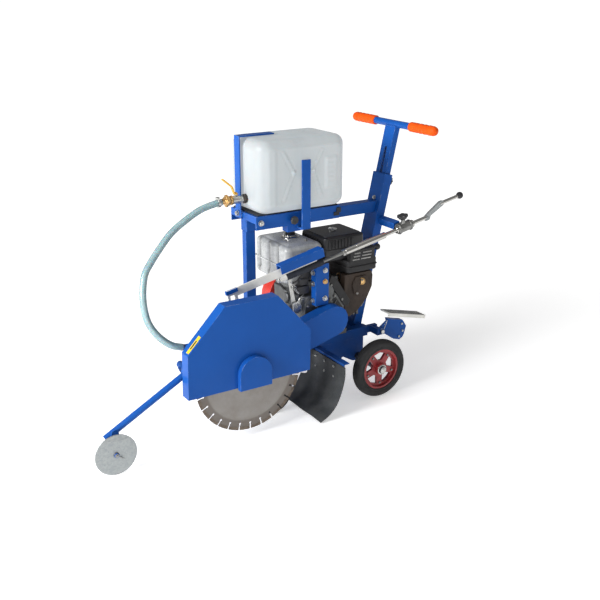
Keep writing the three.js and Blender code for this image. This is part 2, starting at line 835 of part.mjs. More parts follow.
function rearFlap() {
  const line = [
    [-231.8, 208],
    [-231.8, 170],
    [-239, 135],
    [-252, 96],
    [-272, 58],
    [-303, 28],
    [-342, 8],
  ];
  const t = 4.6;
  const back = line.map(([y, z], i) => {
    const a = line[Math.max(i - 1, 0)];
    const b = line[Math.min(i + 1, line.length - 1)];
    const d = Math.hypot(b[0] - a[0], b[1] - a[1]);
    return [y - (t * (a[1] - b[1])) / d, z + (t * (a[0] - b[0])) / d];
  });
  return plateX([...back, ...line.slice().reverse()], FLAP_X0, FLAP_X1);
}

function pedalArm() {
  const outline = [
    [58, 248],
    [66, 251],
    [110, 281],
    [186, 262],
    [206, 232],
    [196, 196],
    [188, 184],
    [172, 176],
    [140, 186],
    [76, 230],
    [64, 229],
  ];
  const web = plateX(outline, 122, 128);
  const eye = rodX(98, 134, [66, 240], 11, 16);
  const cheek = plateX(outline.slice(2, 9), 104, 122);
  return join(web, eye, cheek).subtract(rodX(95, 137, [66, 240], 5.4, 12));
}

function pedalPlate() {
  const m = turnX(-13.8, 125, 189, 292);
  const plate = box(-28, 28, -100, 100, -2, 3, m);
  const lip = box(25, 28, -100, 100, -12, 1, m);
  const rear = box(-28, 28, 97, 100, -12, 1, m);
  return join(plate, lip, rear);
}

function pedalPin() {
  const pin = rodX(72, 151, [66, 240], 5, 12);
  return join(pin, rodX(144.3, 152, [66, 240], 9, 6), rodX(70, 77.7, [66, 240], 9, 6));
}

// ---------- assembly ----------
const saw = new THREE.Group();
saw.position.set(...SHIFT);

function place(name, body, color, roughness, metalness) {
  const material = new THREE.MeshStandardMaterial({ color, roughness, metalness });
  const mesh = new THREE.Mesh(geometryOf(body), material);
  mesh.name = name;
  saw.add(mesh);
}

place("chassis_frame", chassisFrame(), BLUE, 0.4, 0.1);
place("front_post", frontPost(), BLUE, 0.4, 0.1);
place("top_beam", topBeam(), BLUE, 0.4, 0.1);
place("rear_post", rearPost(), BLUE, 0.4, 0.1);
place("handle_post", handlePost(), BLUE, 0.4, 0.1);
place("grip_left", grip(1), 0xe8541c, 0.6, 0);
place("grip_right", grip(-1), 0xe8541c, 0.6, 0);
place("post_knob", postKnob(), DARK, 0.5, 0);
place("tank_tray", tankTray(), BLUE, 0.4, 0.1);
place("tank_mat", tankMat(), 0x16202e, 0.9, 0);
place("water_tank", waterTank(), 0xe6ebee, 0.4, 0);
place("tank_cap", tankCap(), 0xd8dde0, 0.5, 0);
place("front_strap", frontStrap(), BLUE, 0.4, 0.1);
place("side_clamp", sideClamp(), BLUE, 0.4, 0.1);
place("clamp_knob", clampKnob(), DARK, 0.5, 0);
place("tank_outlet", tankOutlet(), 0x3a3532, 0.6, 0.4);
place("valve_body", valveBody(), STEEL, 0.35, 0.9);
place("valve_lever", valveLever(), 0xd9a520, 0.5, 0.1);
place("hose_nut", hoseNut(), 0xb08a3e, 0.35, 0.9);
place("hose_clamp", hoseClamp(), STEEL, 0.35, 0.9);
place("water_hose", waterHose(), 0x8fb0b4, 0.3, 0);
place("blade_guard", bladeGuard(), BLUE, 0.4, 0.1);
place("hub_cover", hubCover(), BLUE, 0.4, 0.1);
place("guard_label", guardLabel(), 0xe6c81e, 0.5, 0);
place("saw_blade", sawBlade(), 0xa09a90, 0.4, 0.8);
place("arbor_shaft", arborShaft(), STEEL, 0.35, 0.9);
place("arbor_clamp", arborClamp(), STEEL, 0.35, 0.9);
place("blade_pulley", bladePulley(), 0x55585b, 0.5, 0.8);
place("engine_pulley", enginePulley(), 0x55585b, 0.5, 0.8);
place("drive_belt", driveBelt(), DARK, 0.9, 0);
place("belt_guard", beltGuard(), BLUE, 0.4, 0.1);
place("engine_block", engineBlock(), 0x8c8f90, 0.5, 0.7);
place("fuel_tank", fuelTank(), 0xdfe0de, 0.35, 0.1);
place("fuel_cap", fuelCap(), 0x222222, 0.4, 0.3);
place("air_cleaner", airCleaner(), DARK, 0.6, 0);
place("muffler", muffler(), 0x242424, 0.6, 0.5);
place("recoil_cover", recoilCover(), 0xc32a1a, 0.4, 0.1);
place("starter_grip", starterGrip(), DARK, 0.6, 0);
place("throttle_lever", throttleLever(), STEEL, 0.4, 0.9);
place("control_knob", controlKnob(), DARK, 0.5, 0);
place("crank_bearing", crankBearing(), STEEL, 0.35, 0.9);
place("lock_knob", lockKnob(), DARK, 0.5, 0);
place("crank_handle", crankHandle(), 0xc8caca, 0.2, 1);
place("crank_grip", crankGrip(), DARK, 0.5, 0);
place("draw_bar", drawBar(), 0xc0c2c0, 0.35, 0.9);
place("guide_bracket", guideBracket(), BLUE, 0.4, 0.1);
place("swing_arm", swingArm(), BLUE, 0.4, 0.1);
place("front_wheel_left", frontWheel(1), DARK, 0.9, 0);
place("front_wheel_right", frontWheel(-1), DARK, 0.9, 0);
place("rear_axle", rearAxle(), 0x2a3038, 0.5, 0.8);
place("rear_tyre_left", rearTyre(1), 0x1d1e20, 0.9, 0);
place("rear_tyre_right", rearTyre(-1), 0x1d1e20, 0.9, 0);
place("rear_hub_left", rearHub(1), 0x8e1e22, 0.4, 0.3);
place("rear_hub_right", rearHub(-1), 0x8e1e22, 0.4, 0.3);
place("guide_arm", guideArm(), BLUE, 0.4, 0.1);
place("guide_disc", guideDisc(), 0xb4b8ba, 0.4, 0.8);
place("rear_flap", rearFlap(), 0x2d3235, 0.85, 0);
place("pedal_arm", pedalArm(), BLUE, 0.4, 0.1);
place("pedal_plate", pedalPlate(), 0x9a9c96, 0.4, 0.8);
place("pedal_pin", pedalPin(), STEEL, 0.4, 0.9);

export default saw;
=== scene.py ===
from math import copysign, cos, hypot, pi, radians, sin

import bmesh
import bpy
from mathutils import Matrix, Vector


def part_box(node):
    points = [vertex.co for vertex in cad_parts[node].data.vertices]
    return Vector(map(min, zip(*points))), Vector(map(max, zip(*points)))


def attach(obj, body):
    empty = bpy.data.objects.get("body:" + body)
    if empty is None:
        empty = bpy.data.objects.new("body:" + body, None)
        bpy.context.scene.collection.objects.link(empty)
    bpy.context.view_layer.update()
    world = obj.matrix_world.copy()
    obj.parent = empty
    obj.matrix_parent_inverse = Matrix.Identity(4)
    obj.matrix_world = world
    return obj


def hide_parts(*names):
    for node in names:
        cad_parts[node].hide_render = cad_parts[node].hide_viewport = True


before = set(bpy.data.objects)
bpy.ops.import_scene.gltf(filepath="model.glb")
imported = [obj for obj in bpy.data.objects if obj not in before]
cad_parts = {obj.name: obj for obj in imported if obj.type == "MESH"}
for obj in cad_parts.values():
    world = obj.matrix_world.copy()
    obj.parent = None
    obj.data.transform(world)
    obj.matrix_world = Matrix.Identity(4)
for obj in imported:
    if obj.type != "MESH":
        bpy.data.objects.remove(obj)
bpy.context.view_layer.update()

# ---------- the machine's own frame ----------
# X = 0 is the centre plane, Y = 0 the rear axle, Z = 0 the ground, all in millimetres.
axle_low, axle_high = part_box("rear_axle")
ORIGIN = Vector(((axle_low.x + axle_high.x) / 2, (axle_low.y + axle_high.y) / 2, 0.0))
MM = Matrix.Scale(0.001, 4)
MACHINE = Matrix.Translation(ORIGIN) @ MM


def shift(x, y, z):
    return Matrix.Translation((x, y, z))


def spun(degrees, axis):
    return Matrix.Rotation(radians(degrees), 4, axis)


def at(x, y, z):
    """A machine-frame point in millimetres, as metres in the row frame."""
    return ORIGIN + Vector((x, y, z)) * 0.001


def leaning(degrees, x, y, z):
    """A local frame turned about X, with its origin at a machine point."""
    turn = spun(degrees, "X")
    return Matrix.Translation(at(x, y, z)) @ turn @ MM


def aimed(origin, axis, spin=0.0):
    """A local frame whose Z runs along axis, for turned pieces and bolts."""
    turn = Vector(axis).to_track_quat("Z", "Y").to_matrix().to_4x4()
    return Matrix.Translation(at(*origin)) @ turn @ Matrix.Rotation(spin, 4, "Z") @ MM


# The rear post's frame has Z along the post, the crank rod's has Y along the rod.
POST = leaning(-12.7, 0, 10, 211)
ROD = leaning(11.85, 160, 147, 674)
# Side views: an outline's (u, v) and its depth w become (y, z, x).
TO_SIDE = Matrix(((0, 0, 1, 0), (1, 0, 0, 0), (0, 1, 0, 0), (0, 0, 0, 1)))
SIDE = MACHINE @ TO_SIDE


def row(matrix, point):
    """A local point of that frame, as a machine point in millimetres."""
    return tuple((matrix @ Vector(point) - ORIGIN) * 1000)


# ---------- camera: solved from the photograph's perspective ----------
camera = bpy.data.objects.new("camera", bpy.data.cameras.new("camera"))
bpy.context.scene.collection.objects.link(camera)
camera.location = at(2793.4, -1999.3, 1560.0)
camera.rotation_euler = (radians(70.5), 0, radians(57.8))
camera.data.lens = 52.5
camera.data.sensor_width = 36
camera.data.clip_end = 600
bpy.context.scene.camera = camera


# ---------- mesh code ----------
def loft(bm, rings, caps=True, closed=False):
    """Faces between successive rings of equally many points."""
    rows = [[bm.verts.new(p) for p in ring] for ring in rings]
    count = len(rows[0])
    following = rows[1:] + rows[:1] if closed else rows[1:]
    for a, b in zip(rows, following):
        for i in range(count):
            j = (i + 1) % count
            bm.faces.new((a[i], a[j], b[j], b[i]))
    if caps and not closed:
        bm.faces.new(list(reversed(rows[0])))
        bm.faces.new(rows[-1])


def circle(radius, height, sides, turn=0.0):
    """Points of a level circle, at that height along Z."""
    step = 2 * pi / sides
    return [
        (radius * cos(turn + i * step), radius * sin(turn + i * step), height)
        for i in range(sides)
    ]


def lathe(bm, matrix, profile, sides=48, closed=False):
    """A turned body about the local Z axis, from (radius, height) pairs."""
    rings = [[matrix @ Vector(p) for p in circle(max(r, 0.02), h, sides)] for r, h in profile]
    loft(bm, rings, closed=closed)


def slab(bm, matrix, outline, low, high):
    """An outline in the local XY plane, pulled from low to high along local Z."""
    rings = [[matrix @ Vector((x, y, h)) for x, y in outline] for h in (low, high)]
    loft(bm, rings)


def block(bm, matrix, x0, x1, y0, y1, z0, z1):
    """A square-edged body; soften() rounds its edges."""
    slab(bm, matrix, [(x0, y0), (x1, y0), (x1, y1), (x0, y1)], z0, z1)


def hexagon(across):
    """The outline of a hexagon that wide across its flats."""
    return [p[:2] for p in circle(across / 2 / cos(pi / 6), 0, 6)]


def on_ring(centre, radius, angle):
    """A point of a circle in a side view, as (y, z)."""
    return centre[0] + radius * cos(angle), centre[1] + radius * sin(angle)


def ball_profile(radius, start, step):
    """Part of a circle for lathe(), from start degrees upwards."""
    angles = [radians(start + step * k) for k in range(16)]
    return [(radius * cos(a), radius * sin(a)) for a in angles]


def hex_head(bm, matrix, across, height, base=0.0, washer=0.0):
    """A chamfered hexagon with a domed top, and a washer under it."""
    if washer:
        lathe(bm, matrix, [(washer / 2, base), (washer / 2, base + 1.6), (0, base + 1.6)], 24)
        base += 1.6
    out = across / 2 / cos(pi / 6)
    rings = []
    for scale, h in ((1, base), (1, base + height * 0.8), (0.86, base + height)):
        rings.append([matrix @ Vector((x * scale, y * scale, h)) for x, y in hexagon(across)])
    loft(bm, rings)
    lathe(bm, matrix, [(out * 0.42, base + height - 0.5), (out * 0.42, base + height + 1.6),
                       (0, base + height + 2.2)], 16)


def curve_points(points, steps):
    """A smooth line of Catmull-Rom pieces through the points."""
    p = [Vector(q) for q in points]
    p = [2 * p[0] - p[1]] + p + [2 * p[-1] - p[-2]]
    line = []
    for i in range(1, len(p) - 2):
        a, b, c, d = p[i - 1 : i + 3]
        for k in range(steps):
            t = k / steps
            line.append(
                0.5 * (2 * b + (c - a) * t + (2 * a - 5 * b + 4 * c - d) * t * t + (3 * b - a - 3 * c + d) * t ** 3)
            )
    line.append(p[-2])
    return line


def tube(bm, matrix, points, radius, sides=16, steps=6, ends=True):
    """A round tube along a smooth line, with its side vector carried along."""
    line = curve_points(points, steps) if steps else [Vector(q) for q in points]
    side = None
    rings = []
    for i, p in enumerate(line):
        tangent = (line[min(i + 1, len(line) - 1)] - line[max(i - 1, 0)]).normalized()
        side = (side or tangent.orthogonal()) - tangent * tangent.dot(side or tangent.orthogonal())
        side.normalize()
        other = tangent.cross(side)
        r = radius(i / (len(line) - 1)) if callable(radius) else radius
        ring = []
        for k in range(sides):
            a = 2 * pi * k / sides
            ring.append(matrix @ (p + (side * cos(a) + other * sin(a)) * r))
        rings.append(ring)
    loft(bm, rings, caps=ends)


SAME_POINT = 0.00003
SHARP_DEGREES = 32


def soften(thing, width):
    """Rounded edges and even shading, as modifiers, so the mesh itself stays."""
    for p in thing.data.polygons:
        p.use_smooth = True
    weld = thing.modifiers.new("weld", "WELD")
    weld.merge_threshold = 0.00001
    if width:
        bevel = thing.modifiers.new("edges", "BEVEL")
        bevel.width = width * 0.001
        bevel.segments = 2
        bevel.limit_method = "ANGLE"
        bevel.angle_limit = radians(SHARP_DEGREES)
        bevel.use_clamp_overlap = True
    normals = thing.modifiers.new("shading", "WEIGHTED_NORMAL")
    normals.mode = "FACE_AREA_WITH_ANGLE"
    normals.weight = 80


def piece(name, bm, material, bevel, stands_for=(), body="saw_frame", slot=None):
    """The finished mesh as a named piece that rides on a body."""
    bmesh.ops.remove_doubles(bm, verts=bm.verts, dist=SAME_POINT)
    bmesh.ops.recalc_face_normals(bm, faces=bm.faces)
    mesh = bpy.data.meshes.new(name)
    bm.to_mesh(mesh)
    bm.free()
    made = bpy.data.objects.new(name, mesh)
    bpy.context.scene.collection.objects.link(made)
    mesh.materials.append(material)
    soften(made, bevel)
    slot = slot or SLOT_OF[material]
    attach(made, body)
    if stands_for:
        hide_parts(*stands_for)
    return made


# ---------- materials ----------
class Nodes:
    """A short way of writing a node material."""

    def __init__(self, name):
        self.material = bpy.data.materials.new(name)
        self.material.use_nodes = True
        self.tree = self.material.node_tree
        self.shader = self.tree.nodes["Principled BSDF"]
        self.place = self.add("ShaderNodeTexCoord").outputs["Object"]

    def add(self, kind, **values):
        node = self.tree.nodes.new(kind)
        for key, value in values.items():
            setattr(node, key, value)
        return node

    def link(self, source, target):
        self.tree.links.new(source, target)

    def give(self, socket, source):
        self.link(source, self.shader.inputs[socket])

    def noise(self, scale, detail=4.0, rough=0.55, stretch=None):
        node = self.add("ShaderNodeTexNoise")
        node.inputs["Scale"].default_value = scale
        node.inputs["Detail"].default_value = detail
        node.inputs["Roughness"].default_value = rough
        source = self.place
        if stretch:
            mapping = self.add("ShaderNodeMapping")
            mapping.inputs["Scale"].default_value = stretch
            self.link(source, mapping.inputs["Vector"])
            source = mapping.outputs["Vector"]
        self.link(source, node.inputs["Vector"])
        return node.outputs["Fac"]

    def span(self, source, a, b, low, high):
        node = self.add("ShaderNodeMapRange")
        for name, value in (("From Min", a), ("From Max", b), ("To Min", low), ("To Max", high)):
            node.inputs[name].default_value = value
        self.link(source, node.inputs["Value"])
        return node.outputs["Result"]

    def maths(self, operation, a, b):
        node = self.add("ShaderNodeMath", operation=operation)
        for i, value in enumerate((a, b)):
            if isinstance(value, (int, float)):
                node.inputs[i].default_value = value
            else:
                self.link(value, node.inputs[i])
        return node.outputs[0]

    def mix(self, fac, a, b):
        node = self.add("ShaderNodeMix", data_type="RGBA")
        self.link(fac, node.inputs[0])
        for i, value in ((6, a), (7, b)):
            if isinstance(value, tuple):
                node.inputs[i].default_value = (*value, 1)
            else:
                self.link(value, node.inputs[i])
        return node.outputs[2]

    def bump(self, height, strength, distance):
        node = self.add("ShaderNodeBump")
        node.inputs["Strength"].default_value = strength
        node.inputs["Distance"].default_value = distance
        self.link(height, node.inputs["Height"])
        self.link(node.outputs["Normal"], self.shader.inputs["Normal"])

    def set(self, **values):
        for key, value in values.items():
            self.shader.inputs[key.replace("_", " ")].default_value = value

    def axes(self):
        """X, Y and Z of the object's own coordinates."""
        split = self.add("ShaderNodeSeparateXYZ")
        self.link(self.place, split.inputs[0])
        return split.outputs

    def edges(self):
        """1 along a corner, 0 on flat ground, from the difference of rounded and plain normals."""
        rounded = self.add("ShaderNodeBevel", samples=4)
        rounded.inputs["Radius"].default_value = 0.0025
        alike = self.add("ShaderNodeVectorMath", operation="DOT_PRODUCT")
        self.link(rounded.outputs[0], alike.inputs[0])
        self.link(self.add("ShaderNodeNewGeometry").outputs["Normal"], alike.inputs[1])
        return self.span(alike.outputs["Value"], 0.995, 0.90, 0.0, 1.0)


def tinted(color, k):
    """A lighter or darker shade of a colour."""
    return tuple(min(1.0, c * k) for c in color)


def finish(name, color, rough, metal=0.0, tone=0.14, scale=7.0, grain=500.0, bump=0.15,
           depth=0.0003, spread=0.08, worn=None, dust=0.0, stretch=None, spots=0.0, **sockets):
    """Colour that drifts, fine grain in the gloss and the surface, worn edges and floor dust."""
    n = Nodes(name)
    drift = n.span(n.noise(scale, 5.0), 0.3, 0.7, 0.0, 1.0)
    color_out = n.mix(drift, tinted(color, 1 - tone), tinted(color, 1 + tone))
    fine = n.noise(grain, 3.0, 0.6, stretch)
    if spots:
        speck = n.span(n.noise(grain * 0.35, 2.0), 0.62, 0.70, 0.0, spots)
        color_out = n.mix(speck, color_out, tinted(color, 1.7))
    if worn:
        patchy = n.span(n.noise(38.0, 6.0, 0.7), 0.50, 0.62, 0.0, 0.8)
        color_out = n.mix(n.maths("MULTIPLY", n.edges(), patchy), color_out, worn)
    if dust:
        low = n.span(n.axes()[2], 0.0, 0.34, dust, 0.0)
        cloud = n.span(n.noise(16.0, 6.0, 0.65), 0.35, 0.7, 0.15, 1.0)
        color_out = n.mix(n.maths("MULTIPLY", low, cloud), color_out, (0.36, 0.35, 0.33))
    n.give("Base Color", color_out)
    n.give("Roughness", n.span(fine, 0.3, 0.7, rough - spread, rough + spread))
    n.bump(fine, bump, depth)
    n.set(Metallic=metal, **sockets)
    return n.material


BLUE = (0.008, 0.084, 0.365)
paint = finish("blue_enamel", BLUE, 0.34, tone=0.07, scale=5.0, grain=260.0, bump=0.10,
               depth=0.0004,
               spread=0.05, worn=(0.30, 0.38, 0.50), dust=0.05, Specular_IOR_Level=0.13)
# Painted shade: a darker copy of the blue enamel for the frame and swing arm underneath, with more floor dust.
shaded_paint = finish("blue_enamel_shaded_under", tinted(BLUE, 0.8), 0.42, tone=0.12, scale=9.0, grain=260.0,
                    bump=0.12, depth=0.0004, worn=(0.20, 0.27, 0.38), dust=0.12,
                    Specular_IOR_Level=0.1)
orange = finish("orange_grip", (0.80, 0.088, 0.004), 0.55, tone=0.16, scale=30.0, grain=900.0,
                bump=0.35, depth=0.0004, Specular_IOR_Level=0.15)
black = finish("black_plastic", (0.016, 0.016, 0.018), 0.42, tone=0.3, scale=14.0, grain=1100.0,
               bump=0.22, depth=0.0002, worn=(0.07, 0.07, 0.07))
rubber = finish("mat_rubber", (0.020, 0.024, 0.034), 0.85, tone=0.3, scale=20.0, grain=700.0,
                bump=0.5, depth=0.0006)
bright = finish("plated_steel", (0.52, 0.52, 0.50), 0.30, 0.95, tone=0.16, scale=26.0, grain=420.0,
                bump=0.10, spread=0.12, worn=(0.82, 0.82, 0.80))
dull = finish("dull_steel", (0.27, 0.27, 0.26), 0.42, 0.9, tone=0.22, scale=30.0, grain=500.0,
              bump=0.18, spread=0.12)
dark_fitting = finish("dark_fitting", (0.055, 0.048, 0.042), 0.5, 0.5, tone=0.35, scale=40.0,
                      grain=600.0, bump=0.3)
chrome = finish("chrome_tube", (0.55, 0.54, 0.51), 0.17, 1.0, tone=0.08, scale=12.0, grain=900.0,
                bump=0.03, spread=0.07, stretch=(1.0, 0.06, 1.0))
yellow = finish("yellow_dip", (0.74, 0.40, 0.035), 0.45, tone=0.18, scale=40.0, grain=500.0,
                bump=0.2, worn=(0.35, 0.24, 0.12))
brass = finish("cast_brass", (0.62, 0.40, 0.17), 0.36, 0.9, tone=0.2, scale=60.0, grain=700.0,
               bump=0.3, depth=0.0003, spread=0.1)
alloy = finish("cast_alloy", (0.15, 0.155, 0.155), 0.5, 0.8, tone=0.25, scale=22.0, grain=800.0,
               bump=0.45, depth=0.0006, spread=0.12, spots=0.3)
iron = finish("pulley_iron", (0.10, 0.10, 0.105), 0.5, 0.7, tone=0.25, grain=700.0, bump=0.35)
white = finish("white_enamel", (0.56, 0.57, 0.56), 0.26, tone=0.05, scale=10.0, grain=300.0,
               bump=0.06, worn=(0.30, 0.30, 0.29), Coat_Weight=0.4, Coat_Roughness=0.12)
soot = finish("heat_black", (0.020, 0.020, 0.021), 0.55, 0.2, tone=0.4, scale=18.0, grain=900.0,
              bump=0.35, depth=0.0004, worn=(0.12, 0.10, 0.09))
brown = finish("heat_brown", (0.040, 0.026, 0.018), 0.6, 0.25, tone=0.4, scale=26.0, grain=700.0,
               bump=0.4, depth=0.0006)
red = finish("red_enamel", (0.55, 0.028, 0.018), 0.32, tone=0.12, scale=16.0, grain=300.0,
             bump=0.1, worn=(0.45, 0.25, 0.2))
red_hub = finish("red_hub", (0.30, 0.016, 0.020), 0.38, 0.1, tone=0.25, scale=26.0, grain=420.0,
                 bump=0.25, depth=0.0005, worn=(0.5, 0.28, 0.26), dust=0.10)
tyre_rubber = finish("tyre_rubber", (0.016, 0.016, 0.017), 0.72, tone=0.3, scale=18.0, grain=650.0,
                     bump=0.4, depth=0.0005, dust=0.10, Specular_IOR_Level=0.3)
flap_rubber = finish("flap_rubber", (0.030, 0.034, 0.037), 0.62, tone=0.42, scale=9.0, grain=520.0,
                     bump=0.35, depth=0.0005, spread=0.12, dust=0.16, Specular_IOR_Level=0.4)
axle_paint = finish("axle_steel", (0.030, 0.040, 0.065), 0.45, 0.4, tone=0.3, grain=500.0,
                    bump=0.25,
                    dust=0.2)
belt_rubber = finish("belt_rubber", (0.018, 0.018, 0.018), 0.8, tone=0.3, grain=900.0, bump=0.5)


def tank_plastic():
    """Milky blow-moulded plastic. Its emission stands for light passing through the walls."""
    n = Nodes("tank_plastic")
    drift = n.span(n.noise(5.0, 4.0), 0.3, 0.7, 0.0, 1.0)
    flow = n.span(n.noise(14.0, 5.0, 0.6, (1.0, 1.0, 0.25)), 0.35, 0.65, 0.0, 1.0)
    cool = n.mix(drift, (0.225, 0.240, 0.247), (0.275, 0.290, 0.297))
    n.give("Base Color", n.mix(flow, cool, (0.250, 0.265, 0.272)))
    glow = n.mix(drift, (0.84, 0.93, 0.97), (0.93, 0.98, 1.0))
    n.give("Emission Color", glow)
    n.give("Emission Strength", n.span(flow, 0.0, 1.0, 0.31, 0.35))
    fine = n.noise(420.0, 3.0)
    n.give("Roughness", n.span(fine, 0.3, 0.7, 0.30, 0.42))
    n.bump(fine, 0.12, 0.0003)
    n.set(Subsurface_Weight=0.2, Subsurface_Scale=0.01, Specular_IOR_Level=0.22)
    return n.material


def fuel_enamel():
    """White enamel, blotched by reflections, with painted shade fading off into the front flutes."""
    n = Nodes("fuel_enamel")
    drift = n.span(n.noise(22.0, 6.0, 0.65), 0.38, 0.66, 0.0, 1.0)
    body = n.mix(drift, (0.33, 0.34, 0.34), (0.50, 0.51, 0.50))
    split = n.axes()
    front = n.span(split[1], at(0, -352, 0).y, at(0, -344, 0).y, 1.0, 0.0)
    # Painted shade: dark bands down the three front flutes, fading out to each side.
    for x in (-108, -38, 28):
        away = n.maths("ABSOLUTE", n.maths("SUBTRACT", split[0], at(x, 0, 0).x), 0)
        flute_shade = n.span(away, 0.001, 0.013, 0.75, 0.0)
        body = n.mix(n.maths("MULTIPLY", flute_shade, front), body, (0.09, 0.09, 0.09))
    n.give("Base Color", body)
    n.give("Roughness", n.span(n.noise(300.0, 3.0), 0.3, 0.7, 0.22, 0.34))
    n.bump(n.noise(300.0, 3.0), 0.06, 0.0003)
    n.set(Coat_Weight=0.4, Coat_Roughness=0.12)
    return n.material


def ground_steel():
    """Blade steel with rings from grinding, darker and browner towards the rim."""
    n = Nodes("blade_steel")
    low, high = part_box("saw_blade")
    centre = n.add("ShaderNodeVectorMath", operation="SUBTRACT")
    n.link(n.place, centre.inputs[0])
    centre.inputs[1].default_value = (low + high) / 2
    flat = n.add("ShaderNodeVectorMath", operation="MULTIPLY")
    n.link(centre.outputs[0], flat.inputs[0])
    flat.inputs[1].default_value = (0, 1, 1)
    length = n.add("ShaderNodeVectorMath", operation="LENGTH")
    n.link(flat.outputs[0], length.inputs[0])
    radius = length.outputs["Value"]
    rings = n.add("ShaderNodeTexNoise", noise_dimensions="1D")
    n.link(n.maths("MULTIPLY", radius, 900.0), rings.inputs["W"])
    rings.inputs["Scale"].default_value = 1.0
    rings.inputs["Detail"].default_value = 5.0
    ring = rings.outputs["Fac"]
    base = n.mix(n.span(ring, 0.3, 0.7, 0, 1), (0.205, 0.195, 0.18), (0.335, 0.32, 0.30))
    cloud = n.span(n.noise(9.0, 6.0, 0.65), 0.40, 0.66, 0.0, 0.8)
    base = n.mix(cloud, base, (0.21, 0.185, 0.165))
    rim = n.span(radius, 0.172, 0.180, 0.0, 0.75)
    base = n.mix(rim, base, (0.135, 0.115, 0.10))
    n.give("Base Color", base)
    n.give("Roughness", n.span(ring, 0.3, 0.7, 0.34, 0.52))
    n.bump(ring, 0.15, 0.0003)
    n.set(Metallic=0.75)
    return n.material


def galvanised():
    """Zinc spangle over pale steel."""
    n = Nodes("galvanised")
    cells = n.add("ShaderNodeTexVoronoi", feature="F1")
    cells.inputs["Scale"].default_value = 150.0
    n.link(n.place, cells.inputs["Vector"])
    grey = n.add("ShaderNodeRGBToBW")
    n.link(cells.outputs["Color"], grey.inputs[0])
    spangle = n.mix(grey.outputs[0], (0.28, 0.305, 0.31), (0.40, 0.42, 0.42))
    scratch = n.span(n.noise(60.0, 6.0, 0.7, (1.0, 0.15, 1.0)), 0.55, 0.75, 0.0, 0.5)
    n.give("Base Color", n.mix(scratch, spangle, (0.22, 0.23, 0.225)))
    n.give("Roughness", n.span(grey.outputs[0], 0, 1, 0.36, 0.54))
    n.bump(n.noise(500.0, 3.0), 0.15, 0.0003)
    n.set(Metallic=0.7)
    return n.material


def hose_plastic():
    """Tinted clear hose: a spiral thread, long streaks and a wet-looking coat."""
    n = Nodes("hose_pvc")
    uv = n.add("ShaderNodeUVMap", uv_map="UVMap").outputs["UV"]
    split = n.add("ShaderNodeSeparateXYZ")
    n.link(uv, split.inputs[0])
    around, along = split.outputs[0], split.outputs[1]
    turn = n.maths("ADD", n.maths("MULTIPLY", along, 150.0), around)
    thread = n.maths("ABSOLUTE", n.maths("SINE", n.maths("MULTIPLY", turn, pi), 0), 0)
    streak = n.maths("ABSOLUTE", n.maths("SINE", n.maths("MULTIPLY", around, 3 * pi), 0), 0)
    body = n.mix(n.span(streak, 0.2, 1.0, 0.0, 1.0), (0.12, 0.22, 0.24), (0.26, 0.40, 0.43))
    cloud = n.span(n.noise(30.0, 4.0), 0.35, 0.65, 0.0, 0.5)
    body = n.mix(cloud, body, (0.34, 0.48, 0.51))
    body = n.mix(n.span(thread, 0.80, 0.98, 0.0, 0.3), body, (0.50, 0.62, 0.64))
    n.give("Base Color", body)
    n.give("Roughness", n.span(cloud, 0, 0.5, 0.16, 0.28))
    n.bump(thread, 0.25, 0.0006)
    n.set(Coat_Weight=0.7, Coat_Roughness=0.08, Subsurface_Weight=0.25, Subsurface_Scale=0.01)
    return n.material


film = finish("yellow_film", (0.78, 0.56, 0.03), 0.32, tone=0.12, scale=60.0, grain=900.0,
              bump=0.05, worn=(0.35, 0.28, 0.10))
bar_steel = finish("worn_bar", (0.80, 0.79, 0.74), 0.45, 0.12, tone=0.12, scale=16.0, grain=420.0,
                   bump=0.12, spread=0.10, worn=(0.7, 0.69, 0.66), stretch=(1.0, 0.1, 1.0))
plastic = tank_plastic()
fuel_paint = fuel_enamel()
blade_steel = ground_steel()
segment = finish("segment_grit", (0.17, 0.135, 0.105), 0.72, 0.4, tone=0.35, scale=60.0,
                 grain=1400.0, bump=0.9, depth=0.0006, spots=0.5)
zinc = galvanised()
hose_pvc = hose_plastic()

# The material slot name of each material, unless a piece names another; piece() looks it up but does not give it to
# the piece.
SLOT_OF = {
    paint: "blue_paint", orange: "orange_grip", black: "black_plastic", rubber: "mat_rubber",
    bright: "plated_steel", dull: "plated_steel", bar_steel: "plated_steel", chrome: "chrome",
    dark_fitting: "dark_metal", brass: "brass", alloy: "engine_alloy", white: "white_paint",
    fuel_paint: "white_paint", soot: "black_paint", brown: "black_paint", zinc: "galvanised",
    belt_rubber: "belt_rubber", tyre_rubber: "tyre_rubber", flap_rubber: "flap_rubber",
    plastic: "tank_plastic", hose_pvc: "hose_pvc", film: "label",
    blade_steel: "blade_steel", segment: "blade_steel",
}

# ---------- water hose ----------
HOSE_R = 12.5
HOSE_PATH = [
    (15, -586, 836), (15, -606, 834), (20, -673, 820), (32, -743, 790), (48, -805, 757),
    (69, -861, 712), (86, -900, 677), (103, -932, 642), (125, -952, 582), (143, -956, 526),
    (156, -946, 477), (167, -916, 430), (173, -877, 396), (175, -836, 380),
]


def water_hose():
    """The hose, with its length and turns as UVs for the thread and streaks."""
    sides, line = 24, curve_points(HOSE_PATH, 12)
    bm = bmesh.new()
    tube(bm, MACHINE, line, HOSE_R, sides, steps=0)
    uv = bm.loops.layers.uv.new("UVMap")
    bm.verts.ensure_lookup_table()
    place = {v: i for i, v in enumerate(bm.verts)}
    last = len(line) - 1
    for face in bm.faces:
        rows = [place[loop.vert] for loop in face.loops]
        wraps = {r % sides for r in rows} == {0, sides - 1}
        for loop, r in zip(face.loops, rows):
            across = r % sides or (sides if wraps else 0)
            loop[uv].uv = (across / sides, (r // sides) / last)
    made = piece("hose_tube", bm, hose_pvc, 0, ["water_hose"])


water_hose()

